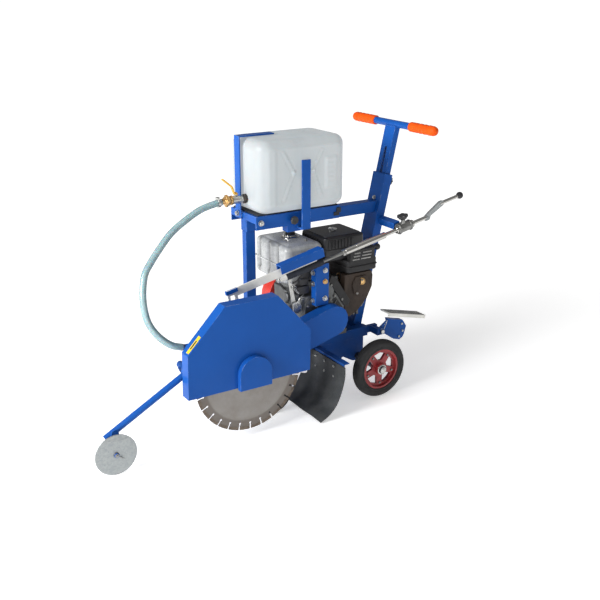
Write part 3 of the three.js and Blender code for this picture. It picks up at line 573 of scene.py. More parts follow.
# ---------- finishes of the CAD nodes that show: (edge rounding in mm, names) ----------
NODE_FINISH = {
    paint: (1.6, "front_post top_beam rear_post handle_post tank_tray front_strap side_clamp"
                 " blade_guard hub_cover belt_guard guide_bracket guide_arm pedal_arm"),
    shaded_paint: (1.2, "chassis_frame swing_arm"),
    rubber: (0.8, "tank_mat"),
    dark_fitting: (0.8, "tank_outlet"),
    dull: (0.7, "crank_bearing throttle_lever pedal_plate"),
    bright: (0.6, "valve_body hose_clamp arbor_shaft arbor_clamp pedal_pin"),
    brass: (0.8, "hose_nut"),
    yellow: (0.5, "valve_lever"),
    iron: (0.6, "blade_pulley engine_pulley"),
    belt_rubber: (0.8, "drive_belt"),
    alloy: (1.2, "engine_block"),
    soot: (1.6, "muffler"),
    black: (1.6, "air_cleaner starter_grip"),
    red: (1.4, "recoil_cover"),
    plastic: (1.0, "tank_cap"),
    bar_steel: (0.7, "draw_bar"),
    tyre_rubber: (1.2, "front_wheel_left front_wheel_right"),
    axle_paint: (0.8, "rear_axle"),
    red_hub: (1.2, "rear_hub_left rear_hub_right"),
}
for material, (width, names) in NODE_FINISH.items():
    for name in names.split():
        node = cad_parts[name]
        node.data.materials.clear()
        node.data.materials.append(material)
        soften(node, width)


# ---------- bolts ----------
def bolts(name, places, material, across, height, washer, body="saw_frame"):
    """Hexagon heads at (point, axis) places, as one piece."""
    bm = bmesh.new()
    for k, (origin, axis) in enumerate(places):
        hex_head(bm, aimed(origin, axis, 0.4 + 0.9 * k), across, height, 0.0, washer)
    piece(name, bm, material, 0.3, body=body)


RIGHT, LEFT, FRONT = (1, 0, 0), (-1, 0, 0), (0, -1, 0)
REAR, UP, DOWN = (0, 1, 0), (0, 0, 1), (0, 0, -1)
POST_FRONT = tuple(POST.to_3x3() @ Vector((0, -1, 0)))
POST_REAR = tuple(POST.to_3x3() @ Vector((0, 1, 0)))


def outward(side):
    """The axis that points away from the centre plane on that side."""
    return RIGHT if side > 0 else LEFT


# ---------- water tank ----------
TANK_LOW = (-122, -484, 789.3)
TANK_HIGH = (122, -105, 1057)
CORNER, EDGE = 50.0, 36.0


def rounded_outline(x0, x1, y0, y1, r, straight=(30, 46), corner=10):
    """A rectangle with round corners, with points spread along its sides."""
    line = []
    corners = [(x1 - r, y0 + r, -90), (x1 - r, y1 - r, 0), (x0 + r, y1 - r, 90),
               (x0 + r, y0 + r, 180)]
    for k, (cx, cy, start) in enumerate(corners):
        for i in range(corner + 1):
            a = radians(start + 90 * i / corner)
            line.append(Vector((cx + r * cos(a), cy + r * sin(a), 0)))
        nx, ny, next_start = corners[(k + 1) % 4]
        a = radians(next_start)
        end = Vector((nx + r * cos(a), ny + r * sin(a), 0))
        count = straight[(k + 1) % 2]
        for i in range(1, count):
            line.append(line[-1] + (end - line[-1]) / (count - i + 1))
    return line


def bell(t, width):
    """1 at t = 0, falling smoothly to 0 at width."""
    t = min(1.0, abs(t) / width)
    return (1 - t * t) ** 2


def to_stroke(y, z, a, b):
    """Distance of a point from the stroke between a and b."""
    ay, az, by, bz = a[0], a[1], b[0], b[1]
    length = (by - ay) ** 2 + (bz - az) ** 2
    t = max(0.0, min(1.0, ((y - ay) * (by - ay) + (z - az) * (bz - az)) / length))
    return hypot(y - ay - t * (by - ay), z - az - t * (bz - az))


STROKES = [
    ((-389, 1016), (-343, 936)), ((-343, 936), (-386, 837)),
    ((-219, 1011), (-261, 938)), ((-261, 938), (-220, 832)),
]


def side_relief(y, z):
    """Moulded figures on the tank's long sides: angle ribs, a sunk label place, level ticks."""
    depth = sum(9.0 * bell(to_stroke(y, z, a, b), 9.5) for a, b in STROKES)
    inside = min(y + 210, -155 - y, z - 862, 984 - z)
    depth -= 4.4 * max(0.0, min(1.0, inside / 5.0))
    if -192 < y < -172 and 875 < z < 972:
        depth += 1.6 * max(0.0, cos((z - 875) * pi / 9.0))
    if -146 < y < -133 and 820 < z < 1000:
        depth += 1.1 * max(0.0, cos((z - 820) * pi / 8.0)) ** 2
    inner = min(y + 425, -140 - y, z - 815, 1030 - z)
    return depth - 2.4 * bell(inner, 8.0)


def moulded(low, high, corner, edge, insets, count, relief, straight=(30, 46)):
    """Rounded-box rings from the floor to the top, each point moved by relief(point, inset)."""
    x0, y0, z0 = low
    x1, y1, z1 = high
    quarter = [radians(90 * i / 8) for i in range(9)]
    rings = [(k, z0) for k in insets]
    rings += [(edge * (1 - sin(a)), z0 + edge * (1 - cos(a))) for a in quarter]
    rings += [(0.0, z0 + edge + (z1 - z0 - 2 * edge) * i / count) for i in range(1, count)]
    rings += [(edge * (1 - cos(a)), z1 - edge * (1 - sin(a))) for a in quarter]
    rings += [(k, z1) for k in reversed(insets)]
    made = []
    for inset, z in rings:
        r = max(corner - inset, 1.0)
        ring = []
        for p in rounded_outline(x0 + inset, x1 - inset, y0 + inset, y1 - inset, r, straight):
            q = Vector((p.x, p.y, z))
            ring.append(MACHINE @ (q + Vector(relief(q, inset))))
        made.append(ring)
    bm = bmesh.new()
    loft(bm, made)
    return bm


def water_relief(q, inset):
    """Side figures, the strap's channel down the front, and the carrying ridges on top."""
    x = y = z = 0.0
    if abs(q.x) > 119.5 and inset < 1:
        x = copysign(side_relief(q.y, q.z) - 3.0, q.x)
    if q.y < -454 and q.z > 809:
        y = 10.0 * bell(q.x + 31, 40.0) * min(1.0, (q.z - 809) / 45) * (1 if inset < 20 else 0.4)
    if q.z > 1039:
        z -= 3.0 * bell(q.x + 31, 40.0) * (1 if q.y < -330 else 0)
        z -= 4.0 * (bell(q.y + 205, 9.0) + bell(q.y + 168, 9.0)) * bell(q.x, 105.0)
        z -= 3.0 * bell(q.x - 62, 8.0) * (1 if q.y > -150 else 0)
    if q.z < 790:
        z += 2.0 * bell(q.x, 80.0)
    return x, y, z


def water_tank():
    """The moulded can, its neck and the ribs of its cap."""
    bm = moulded(TANK_LOW, TANK_HIGH, CORNER, EDGE, (120, 96, 72, 50, 38), 44, water_relief)
    piece("tank_shell", bm, plastic, 0, ["water_tank"])
    bm = bmesh.new()
    neck = aimed((-50, -112, 985), REAR)
    lathe(bm, neck, [(24, 0), (24, 8.5), (22, 8.5), (22, 21), (0, 21)], 40)
    piece("tank_neck", bm, plastic, 0.4)
    bm = bmesh.new()
    cap = aimed((-50, -103, 985), REAR)
    for k in range(36):
        lathe(bm, cap @ Matrix.Translation(Vector(circle(29.4, 0, 36)[k])),
              [(1.2, 1.5), (1.2, 15.5), (0, 15.6)], 6)
    lathe(bm, cap, [(22, 13.5), (12, 13.5), (12, 16.6), (0, 16.6)], 32)
    piece("tank_cap_ribs", bm, plastic, 0.3, body="tank_cap")


water_tank()


# ---------- wheels ----------
REAR_WHEEL = (0, 0, 120)
FRONT_AXLE = (-445, 86)


def tyre(name, side, node, body):
    """Solid tyre: crowned tread with grooves, a bead line and rings on the walls."""
    axis = aimed(REAR_WHEEL, outward(side))
    half = [
        (84.2, 195.5), (87, 193.6), (92, 193.2), (93, 194.4), (95, 194.4), (96, 192.9),
        (104, 192.1),
        (109, 192.2), (113, 194.0), (116.4, 197.4), (118.6, 201.6), (119.6, 205.4), (117.6, 206.4),
        (117.6, 208.0), (119.9, 209.0), (120, 211.6), (118.2, 212.6), (118.2, 213.6),
    ]
    profile = half + [(r, 429 - x) for r, x in reversed(half)]
    bm = bmesh.new()
    lathe(bm, axis, profile, 96, closed=True)
    piece(name, bm, tyre_rubber, 0, [node], body=body)


tyre("tyre_left", 1, "rear_tyre_left", "rear_wheel_left")
tyre("tyre_right", -1, "rear_tyre_right", "rear_wheel_right")


def hub_trim(name, side, body):
    """Bearing ring and five bolts on the outer face of a hub."""
    bm = bmesh.new()
    axis = aimed(REAR_WHEEL, outward(side))
    lathe(bm, axis, [(21, 236.8), (21, 239.4), (19, 240.6), (16.9, 240.6), (16.9, 236.8)], 40,
          closed=True)
    piece(name, bm, bright, 0.3, body=body)
    bm = bmesh.new()
    for k in range(5):
        a = radians(54 + 72 * k)
        y, z = on_ring(REAR_WHEEL[1:], 62, a)
        hex_head(bm, aimed((side * 222, y, z), outward(side)), 9, 5)
    piece(name + "_bolts", bm, dull, 0.2, body=body)


def axle_caps():
    """Grease caps and washers at the ends of the rear axle."""
    bm = bmesh.new()
    for side, way in ((1, RIGHT), (-1, LEFT)):
        axis = aimed((side * 246.6, 0, 120), way)
        lathe(bm, axis, [(11, 0), (13.6, 0), (13.6, 1.6), (9, 2.6), (9, 4.6), (7, 5.4), (0, 5.6)],
              32)
        lathe(bm, aimed((side * 237, 0, 120), way), [(16, 0), (19.6, 0), (19.6, 1.8), (16, 1.8)],
              40, closed=True)
    piece("axle_caps", bm, bright, 0.3)


axle_caps()
hub_trim("hub_ring_left", 1, "rear_wheel_left")
hub_trim("hub_ring_right", -1, "rear_wheel_right")


def front_wheel_caps(name, side, body):
    """Pressed discs on both faces of a front wheel."""
    bm = bmesh.new()
    for face, way in ((139.0, 1), (101.0, -1)):
        axis = aimed((side * face, *FRONT_AXLE), outward(side * way))
        lathe(bm, axis, [(44, -2.4), (44, 0.2), (38, 1.0), (36, -0.6), (22, -0.6), (20, 1.0),
                         (11, 1.0), (11, -2.4)], 40, closed=True)
    piece(name, bm, dull, 0.3, body=body)


front_wheel_caps("front_wheel_left_caps", 1, "front_wheel_left")
front_wheel_caps("front_wheel_right_caps", -1, "front_wheel_right")


# ---------- blade ----------
BLADE_CENTRE = (-612, 247)
SEGMENTS, HOLE_R, CORE_R, RIM_R = 28, 4.4, 204.5, 215


def blade():
    """Steel core with keyhole slots, and a grit segment between each two slots."""
    cy, cz = BLADE_CENTRE
    outline = []
    pitch = 2 * pi / SEGMENTS
    angles = [radians(-36 - k * 28.8) for k in range(11)]
    hole = [(191 + HOLE_R * cos(t), HOLE_R * sin(t)) for t in angles]
    slot = [(CORE_R, -2.6)] + hole + [(CORE_R, 2.6)]
    for i in range(SEGMENTS):
        a = i * pitch
        for x, y in slot:
            outline.append((cy + x * cos(a) - y * sin(a),
                            cz + x * sin(a) + y * cos(a)))
        for k in range(1, 6):
            t = a + 0.0135 + (pitch - 0.027) * k / 6
            outline.append(on_ring(BLADE_CENTRE, CORE_R, t))
    bm = bmesh.new()
    slab(bm, SIDE, outline, 243.5, 246.5)
    piece("blade_core", bm, blade_steel, 0, ["saw_blade"], body="blade_arbor")
    bm = bmesh.new()
    for i in range(SEGMENTS):
        a = i * pitch + 0.015
        b = (i + 1) * pitch - 0.015
        angles = [a + (b - a) * k / 6 for k in range(7)]
        arc = [(203.6, t) for t in angles] + [(RIM_R, t) for t in reversed(angles)]
        slab(bm, SIDE, [on_ring(BLADE_CENTRE, r, t) for r, t in arc], 243.0, 247.0)
    piece("blade_segments", bm, segment, 0.3, body="blade_arbor")


blade()


# ---------- guide disc ----------
GUIDE_CENTRE = (-1130, 76)


def guide_disc():
    """Rimmed disc with its hub, and the bolt and tail that hold it to the arm."""
    axis = aimed((0, *GUIDE_CENTRE), RIGHT)
    bm = bmesh.new()
    lathe(bm, axis, [(6.4, 242.8), (60, 242.8), (73.6, 243.2), (75, 244.2), (75, 245.8),
                     (73.6, 246.8), (60, 247.2), (18, 247.2), (16, 248.0), (6.4, 248.0)], 96,
                     closed=True)
    lathe(bm, axis, [(6.4, 232), (13, 232), (14, 233), (14, 243), (6.4, 243)], 32, closed=True)
    piece("guide_disc_plate", bm, zinc, 0, ["guide_disc"], body="guide_disc")
    bm = bmesh.new()
    hex_head(bm, aimed((247.9, *GUIDE_CENTRE), RIGHT, 0.3), 14, 6.4, 0.2, 20)
    tube(bm, MACHINE, [(252, -1118, 70), (256, -1112, 64), (254, -1106, 60)], 1.6, 8, 3)
    piece("guide_disc_bolt", bm, dull, 0.3, body="guide_arm")


guide_disc()


# ---------- handle ----------
def grips():
    """Ribbed rubber sleeves over the ends of the T-bar."""
    for name, side, node in (("grip_sleeve_left", 1, "grip_left"),
                             ("grip_sleeve_right", -1, "grip_right")):
        m = POST @ shift(0, 0, 868) @ spun(90 * side, "Y")
        profile = [(14.3, 112.0), (17.6, 112.0), (18.9, 114.5)]
        for k in range(29):
            h = 118 + 4.5 * k
            swell = 0.7 * sin(k * 1.1) if 4 < k < 25 else 0.0
            profile.append((18.7 + swell + 0.4 * cos(k * pi), h))
        profile += [(18.4, 249), (16.2, 256), (12.0, 260.6), (6.0, 263.3), (0, 264)]
        bm = bmesh.new()
        lathe(bm, m, profile, 48)
        piece(name, bm, orange, 0, [node], body="handle")


grips()


KNOB_PROFILE = (
    (0.45, 0.0), (0.50, 0.18), (0.86, 0.30), (1.0, 0.42), (1.0, 0.80), (0.90, 0.96), (0.5, 1.0),
    (0.30, 0.93), (0.02, 0.93),
)


def knob(bm, matrix, radius, height, lobes, base=0.0, depth=0.16):
    """A moulded hand knob with finger lobes, a domed top and a hub below."""
    rings = []
    for r, h in KNOB_PROFILE:
        lobed = depth if 0.3 <= h <= 0.96 and r > 0.6 else 0
        ring = []
        for k in range(60):
            a = 2 * pi * k / 60
            out = radius * r * (1 - lobed * (0.5 - 0.5 * cos(lobes * a)))
            ring.append(matrix @ Vector((out * cos(a), out * sin(a), base + height * h)))
        rings.append(ring)
    loft(bm, rings)


def post_parts():
    """Clamp knob, bolts, slot rims, liner strips and the weld of the T-bar."""
    bm = bmesh.new()
    m = POST @ shift(0, 0, 640) @ spun(-90, "X")
    knob(bm, m, 18, 19, 7, 29)
    piece("post_clamp_head", bm, black, 0.3, ["post_knob"], body="post_knob")
    bm = bmesh.new()
    lathe(bm, m, [(6, 19.3), (6, 31), (0, 31)], 20)
    piece("post_clamp_stem", bm, bright, 0.2, body="post_knob")
    bm = bmesh.new()
    hex_head(bm, aimed(row(POST, (2, -19, 566)), POST_FRONT), 12, 6, 0, 17)
    hex_head(bm, aimed(row(POST, (14, 19, 520)), POST_REAR), 12, 6, 0, 17)
    piece("post_bolts", bm, bright, 0.3)
    bm = bmesh.new()
    for x in (-1, 1):
        block(bm, POST, x * 5.2 - 1.2, x * 5.2 + 1.2, -12.7, -12.4, 671, 772)
    piece("post_slot_rim", bm, soot, 0.2, body="handle", slot="black_plastic")
    bm = bmesh.new()
    block(bm, POST, -35.6, 35.6, -14.8, -13.0, 655, 667.5)
    block(bm, POST, -35.6, 35.6, 12.8, 14.8, 655, 667.5)
    piece("post_liner", bm, black, 0.2)
    bm = bmesh.new()
    for s in (-1, 1):
        tube(bm, POST, [(s * 33, -9, 861), (s * 33, 0, 856.5), (s * 33, 9, 861)], 2.6, 8, 4)
    tube(bm, POST, [(-32, -13.6, 858), (0, -14.2, 857), (32, -13.6, 858)], 2.4, 8, 6)
    piece("tee_weld", bm, paint, 0, body="handle")


post_parts()


# ---------- crank and depth screw ----------
def crank():
    """Rod with its collars, cranked link, draw tube, screw, ball grip and lock knob."""
    bm = bmesh.new()
    up = ROD @ spun(-90, "X")
    lathe(bm, up, [(0, -100), (8, -100), (8, 118), (7, 121), (0, 121)], 32)
    tube(bm, ROD, [(0, 190, 31), (0, 198, 33), (0, 240, 33), (0, 290, 33)], 7.6, 24, 5)
    lathe(bm, up, [(8, 34.4), (14.5, 34.4), (15, 36), (15, 44), (13, 45.4), (8, 45.4)], 40,
          closed=True)
    lathe(bm, up, [(8, -42), (13, -42), (14.4, -40.6), (14.4, -34.4), (8, -34.4)], 40, closed=True)
    piece("crank_rod", bm, chrome, 0.3, ["crank_handle"], body="crank")
    bm = bmesh.new()
    outline = [(108, -13), (124, -13), (130, -9), (134, 1), (206, 24), (211, 33), (208, 41),
               (198, 44), (188, 43), (122, 15), (110, 8)]
    slab(bm, ROD @ TO_SIDE, outline, -6, 6)
    lathe(bm, ROD @ shift(0, 116, -3) @ spun(90, "Y"), [(8.5, -9.5), (8.5, 9.5), (0, 9.5)], 24)
    piece("crank_link", bm, zinc, 1.2, body="crank")
    bm = bmesh.new()
    lathe(bm, up, [(0, -290), (10.5, -290), (13, -288), (13, -98), (11, -95.2), (0, -95.2)], 40)
    lathe(bm, up, [(13, -240), (13.5, -239), (13.5, -236), (13, -235)], 40)
    piece("crank_tube", bm, chrome, 0, body="crank")
    bm = bmesh.new()
    hex_head(bm, ROD @ shift(0, -290, 0) @ spun(90, "X"), 22, 13)
    piece("crank_tube_nut", bm, bright, 0.4, body="crank")
    bm = bmesh.new()
    thread = [(0, -560)]
    for k in range(90):
        h = -558 + 3 * k
        thread += [(5.9, h), (7.1, h + 1.2), (5.9, h + 2.4)]
    lathe(bm, up, thread + [(0, -287)], 20)
    piece("crank_screw", bm, dull, 0, body="crank")
    bm = bmesh.new()
    ball = ROD @ shift(0, 298, 33) @ spun(-90, "X")
    lathe(bm, ball, [(8.0, -14.2), (9.2, -13.6)] + ball_profile(14.5, -48, 9.2), 40)
    piece("crank_ball", bm, black, 0, ["crank_grip"], body="crank")
    bm = bmesh.new()
    knob(bm, ROD @ shift(0, 0, 32.3), 23, 20, 5, 0.3, 0.22)
    piece("lock_knob_head", bm, black, 0.4, ["lock_knob"], body="lock_knob")


crank()


def depth_gear():
    """Short clevis at the bar's front end, its bolts, the ribbed gaiter and the end nut."""
    bm = bmesh.new()
    for x0, x1 in ((-4.4, -3.1), (3.1, 6.6)):
        block(bm, ROD, x0, x1, -810, -764, 27, 41.6)
    block(bm, ROD, -4.4, 6.6, -812, -808.4, 27, 41.6)
    piece("bar_clevis", bm, paint, 0.8, body="draw_bar")
    bm = bmesh.new()
    for y in (-552, -450):
        hex_head(bm, ROD @ shift(3, y, 26) @ spun(90, "Y"), 11, 5)
    sleeve = ROD @ spun(90, "X")
    ribs = [(12.1, 397)]
    for k in range(18):
        ribs += [(13.0, 399 + 9 * k), (13.9, 403 + 9 * k), (13.0, 407 + 9 * k)]
    dark = bmesh.new()
    lathe(dark, sleeve, ribs + [(12.1, 562)], 32, closed=True)
    piece("screw_gaiter", dark, rubber, 0, body="draw_bar")
    nose = ROD @ shift(0, -590, 0) @ spun(90, "X")
    hex_head(bm, nose, 19, 8, -2, 26)
    piece("bar_bolts", bm, bright, 0.3, body="draw_bar")


depth_gear()


# ---------- guards, tray and frame hardware ----------
FLAP_LINE = [(-231.8, 208), (-231.8, 170), (-239, 135), (-252, 96), (-272, 58), (-303, 28),
             (-342, 8)]


def flap():
    """Rubber sheet hanging in a curve, wider below the frame skirt, slightly wavy at the hem."""
    line = curve_points([(0, y, z) for y, z in FLAP_LINE], 6)
    rings = []
    count = 26
    for i, p in enumerate(line):
        tangent = (line[min(i + 1, len(line) - 1)] - line[max(i - 1, 0)]).normalized()
        out = Vector((0, -tangent.z, tangent.y)).normalized()
        left = 68 - 38 * max(0.0, min(1.0, (98 - p.z) / 6))
        wave = 2.4 * (i / (len(line) - 1)) ** 2
        front, back = [], []
        for k in range(count + 1):
            x = left + (308 - left) * k / count
            sway = wave * sin(x * 0.045)
            front.append(MACHINE @ (p + out * (2.3 + sway) + Vector((x, 0, 0))))
            back.append(MACHINE @ (p + out * (-2.3 + sway) + Vector((x, 0, 0))))
        rings.append(front + back[::-1])
    bm = bmesh.new()
    loft(bm, rings)
    piece("flap_sheet", bm, flap_rubber, 0.5, ["rear_flap"])


def hardware():
    """Bolts, rivets, the flap, the tray's end stop and the clamp knob."""
    bolts("bracket_bolts", [((160, -228, 444), RIGHT), ((160, -228, 556), RIGHT),
                            ((142, -269, 436), FRONT), ((142, -269, 504), FRONT),
                            ((142, -269, 548), FRONT)], bright, 15, 7.4, 21)
    bolts("bracket_bolt_yellow", [((160, -228, 512), RIGHT)], brass, 15, 7.4, 21)
    bolts("tray_bolts", [((97, -469, 759), RIGHT), ((-97, -469, 759), LEFT),
                         ((-97, -150, 759), LEFT), ((-31, -494.5, 775), FRONT)], bright, 17, 8, 22)
    bolts("beam_bolts", [((22, -200, 735), RIGHT), ((-22, -200, 735), LEFT)], bright, 12, 6, 17)
    flap()
    bolts("flap_rivets", [((x, -236.2, z), FRONT) for x, z in ((112, 190), (112, 148), (174, 190),
                                                               (174, 148), (238, 190), (238, 148))],
                                                               bright, 7, 2.2, 11)
    bolts("engine_feet", [((x, y, 276), UP) for x in (-92, 102) for y in (-306, -104)], bright, 13,
          7, 22)
    bolts("pedal_bolts", [((128, 181, 246), RIGHT), ((128, 186, 214), RIGHT),
                          ((128, 168, 192), RIGHT)], bright, 9, 4.5, 0, body="pedal")
    bm = bmesh.new()
    block(bm, MACHINE, 95.5, 104.5, -137, -119, 757, 776)
    block(bm, MACHINE, 97.2, 102.5, -150, -126, 746, 760)
    piece("tray_end_stop", bm, rubber, 1.6)
    bm = bmesh.new()
    lathe(bm, aimed((97.3, -337, 757), RIGHT), [(6, 0), (6, 10), (0, 10)], 20)
    knob(bm, aimed((97.3, -337, 757), RIGHT), 16.5, 16, 8, 9.5, 0.12)
    piece("clamp_knob_head", bm, black, 0.3, ["clamp_knob"], body="clamp_knob")


hardware()


def label():
    """A plain yellow strip with a black bar, along the guard's sloping front."""
    bm = bmesh.new()
    low, high = Vector((0, -861, 383)), Vector((0, -713, 536))
    along = (high - low).normalized()
    out = Vector((0, -along.z, along.y))
    loft(bm, [[MACHINE @ (low + along * t + out * h + Vector((x, 0, 0)))
               for x, t in ((245, 8), (263, 8), (263, 80), (245, 80))] for h in (0.2, 1.0)])
    piece("guard_strip", bm, film, 0.2, ["guard_label"])
    bm = bmesh.new()
    section = ((-3.6, 0.8), (3.6, 0.8), (3.6, 1.3), (-3.6, 1.3))
    loft(bm, [[MACHINE @ (low + along * t + out * h + Vector((254.5 + w, 0, 0)))
               for w, h in section] for t in (26, 62)])
    piece("guard_strip_bar", bm, black, 0, slot="label")


label()


# ---------- engine ----------
FILLER = (-38, -262)
COVER_CENTRE = (-205, 357)


def fuel_tank():
    """Fluted front, seam flange, a raised ledge round the filler, and the cap."""
    box_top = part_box("fuel_tank")[1].z * 1000

    def flutes(q, inset):
        y = z = 0.0
        if q.y < -350 and 520 < q.z < 640:
            fade = min(1.0, (q.z - 520) / 14, (640 - q.z) / 14)
            y = 9.0 * fade * sum(bell(q.x - x, 17.0) for x in (-108, -38, 28))
        if q.z > 644 and inset > 5:
            ledge = min(q.x + 118, 64 - q.x, q.y + 334, -216 - q.y)
            z = 3.4 * max(0.0, min(1.0, ledge / 5.0)) - 2.2 * bell(ledge + 5, 6.0)
        return 0.0, y, z

    bm = moulded((-150, -362, 497.3), (95, -190, 644.9), 28, 20, (80, 64, 48, 40, 32, 26, 22), 16,
                 flutes, (34, 22))
    piece("fuel_tank_shell", bm, fuel_paint, 0, ["fuel_tank"])
    bm = bmesh.new()
    outline = rounded_outline(-154, 99, -366, -186, 26, (4, 4), 8)
    slab(bm, MACHINE, [(p.x, p.y) for p in outline], 565, 568)
    piece("fuel_tank_seam", bm, white, 0.6)
    bm = bmesh.new()
    neck = aimed((*FILLER, box_top), UP)
    lathe(bm, neck, [(36, 1), (36, 6), (31, 8.4), (27.2, 8.4), (27.2, 1)], 48, closed=True)
    piece("filler_ring", bm, chrome, 0.3, slot="plated_steel")
    bm = bmesh.new()
    lathe(bm, aimed((*FILLER, 645.3), UP), [(26.6, 4.8), (27, 6), (27, 13), (25.6, 15), (21, 15.4),
                                            (0, 15.6)], 48)
    for x, y, _ in circle(26.8, 0, 24):
        lathe(bm, aimed((FILLER[0] + x, FILLER[1] + y, 651), UP), [(1.5, 0), (1.5, 7), (0, 8)], 8)
    piece("fuel_cap_rim", bm, chrome, 0.4, ["fuel_cap"], body="fuel_cap", slot="black_plastic")
    bm = bmesh.new()
    lathe(bm, aimed((*FILLER, 661), UP), [(20, 0), (20, 3), (17, 5.6), (0, 6.4)], 40)
    block(bm, aimed((*FILLER, 664), UP, 0.5), -19, 19, -4, 4, 0, 6.4)
    piece("fuel_cap_top", bm, black, 0.8, body="fuel_cap")
    bolts("fuel_tank_screws", [((46, -242, box_top + 3.0), UP)], dull, 9, 4, 14)


def air_cleaner():
    """Lid line, raised top, slots and wing nut."""
    bm = bmesh.new()
    lid = rounded_outline(-84, 99, -190, 6, 20, (4, 4), 8)
    slab(bm, MACHINE, [(p.x, p.y) for p in lid], 604, 609)
    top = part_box("air_cleaner")[1].z * 1000
    upper = rounded_outline(-70, 85, -176, -8, 14, (3, 3), 6)
    slab(bm, MACHINE, [(p.x, p.y) for p in upper], top - 1, top + 3.4)
    for k in range(8):
        y = -168 + 15 * k
        block(bm, MACHINE, 94, 98.4, y, y + 7, 612, 646)
    for k in range(9):
        x = -66 + 17 * k
        block(bm, MACHINE, x, x + 8, -189.4, -185, 612, 646)
        block(bm, MACHINE, x, x + 8, 1.0, 5.0, 612, 646)
    piece("air_cleaner_ribs", bm, black, 0.9)
    bm = bmesh.new()
    lathe(bm, aimed((8, -92, top + 3), UP), [(9, 0), (9, 5), (5, 7), (5, 12), (0, 12)], 24)
    block(bm, aimed((8, -92, top + 5), UP, 0.6), -17, 17, -2, 2, 0, 9)
    piece("air_cleaner_nut", bm, bright, 0.8)


def muffler():
    """Pale louvres, welded seam, tabs and outlet ring."""
    bm = bmesh.new()
    for j in range(3):
        z = 560 + 12.5 * j
        for y0, y1 in ((-74, -42), (-34, 12)):
            block(bm, MACHINE @ shift(124.4, 0, z) @ spun(-14, "Y"),
                  -1.0, 3.0, y0 + 4 * j, y1 + 2 * j, 0, 4.4)
    piece("muffler_louvres", bm, bright, 0.6)
    bm = bmesh.new()
    seam = rounded_outline(-64, 129, -102, 50, 18, (4, 4), 8)
    slab(bm, MACHINE, [(p.x, p.y) for p in seam], 531, 534.4)
    for x, y in ((112, -84), (112, 34)):
        block(bm, MACHINE, 98, 127, y - 9, y + 9, 598, 603.4)
    piece("muffler_seam", bm, soot, 0.8)
    bm = bmesh.new()
    out = aimed((74, -104.4, 484), FRONT)
    lathe(bm, out, [(11, -8), (18.5, -8), (18.5, -1), (16, 1.8), (11.6, 1.8), (11.6, -6), (11, -6)],
          40, closed=True)
    lathe(bm, out, [(11.4, -6), (9, -3.4), (0, -2.6)], 32)
    piece("exhaust_ring", bm, brass, 0.3)


def cylinder_side():
    """Valve cover, cooling shroud plates, cast bracket and the brass-coloured disc."""
    bm = bmesh.new()
    cover = rounded_outline(-52, 76, 0, 96, 16, (3, 3), 6)
    back = Matrix.Translation(at(0, 14.5, 342)) @ spun(90, "X") @ MM
    slab(bm, back, [(p.x, p.y) for p in cover], -7, 0.2)
    piece("valve_cover", bm, alloy, 2.0)
    bolts("valve_cover_bolts", [((x, 21.4, z), REAR) for x in (-42, 66) for z in (353, 427)], dull,
          10, 5, 0)
    bm = bmesh.new()
    shroud = [(-111, 506), (20, 506), (26, 486), (24, 440), (0, 392), (-46, 346), (-84, 330),
              (-111, 330)]
    slab(bm, SIDE, shroud, 88, 124)
    slab(bm, SIDE, [(-60, 492), (-8, 492), (4, 470), (-4, 430), (-40, 404), (-66, 420), (-76, 460)],
         124, 129)
    piece("cylinder_shroud", bm, brown, 2.0)
    bm = bmesh.new()
    slab(bm, SIDE, [(-192, 500), (-180, 520), (-158, 506), (-92, 404), (-102, 380), (-122, 388)],
         126, 136)
    slab(bm, SIDE, [(-176, 420), (-160, 432), (-104, 352), (-116, 336), (-150, 350)], 126, 132)
    piece("shroud_band", bm, soot, 1.6)
    bm = bmesh.new()
    slab(bm, SIDE, [(-196, 494), (-168, 494), (-160, 470), (-172, 440), (-178, 410), (-196, 410)],
         127, 133)
    slab(bm, SIDE, [(-188, 396), (-172, 402), (-150, 372), (-160, 358), (-184, 366)], 127, 133)
    piece("cast_bracket", bm, alloy, 1.2)
    bm = bmesh.new()
    lathe(bm, aimed((124, -28, 470), (0.75, -0.66, 0)), [(15, -2), (15, 9), (12.5, 10.6), (11, 8),
                                                         (0, 8)], 36)
    piece("exhaust_disc", bm, brass, 0.2)
    bolts("shroud_bolts", [((129, -30, 476), RIGHT), ((129, -54, 424), RIGHT),
                           ((133, -182, 482), RIGHT), ((133, -186, 424), RIGHT)], dull, 9, 5, 0)


def crankcase():
    """Near side cover with ribs and bolts, and the two oil plugs."""
    bm = bmesh.new()
    plate = [(-300, 300), (-284, 284), (-132, 284), (-118, 300), (-118, 424), (-140, 444),
             (-280, 444), (-300, 424)]
    slab(bm, SIDE, plate, 127.6, 131.6)
    for k in range(6):
        a = radians(20 + 28 * k)
        y0, z0 = on_ring(COVER_CENTRE, 44, a)
        y1, z1 = on_ring(COVER_CENTRE, 78, a)
        tube(bm, MACHINE, [(132, y0, z0), (133, (y0 + y1) / 2, (z0 + z1) / 2), (131, y1, z1)], 3.2,
             8, 2)
    piece("side_cover", bm, alloy, 1.0)
    bolts("side_cover_bolts", [((131.5, y, z), RIGHT) for y,
                               z in ((-288, 316), (-288, 414), (-244, 434), (-166, 434),
                                     (-130, 414), (-130, 316), (-205, 292))], dull, 10, 6, 0)
    bm = bmesh.new()
    for x in (-60, 74):
        lathe(bm, aimed((x, -308, 300), (0, -1, 0.35)), [(11, 0), (11, 8), (15, 9), (15, 19),
                                                         (12, 22), (0, 22)], 24)
    piece("oil_plugs", bm, black, 0.5)


for part in (fuel_tank, air_cleaner, muffler, cylinder_side, crankcase):
    part()


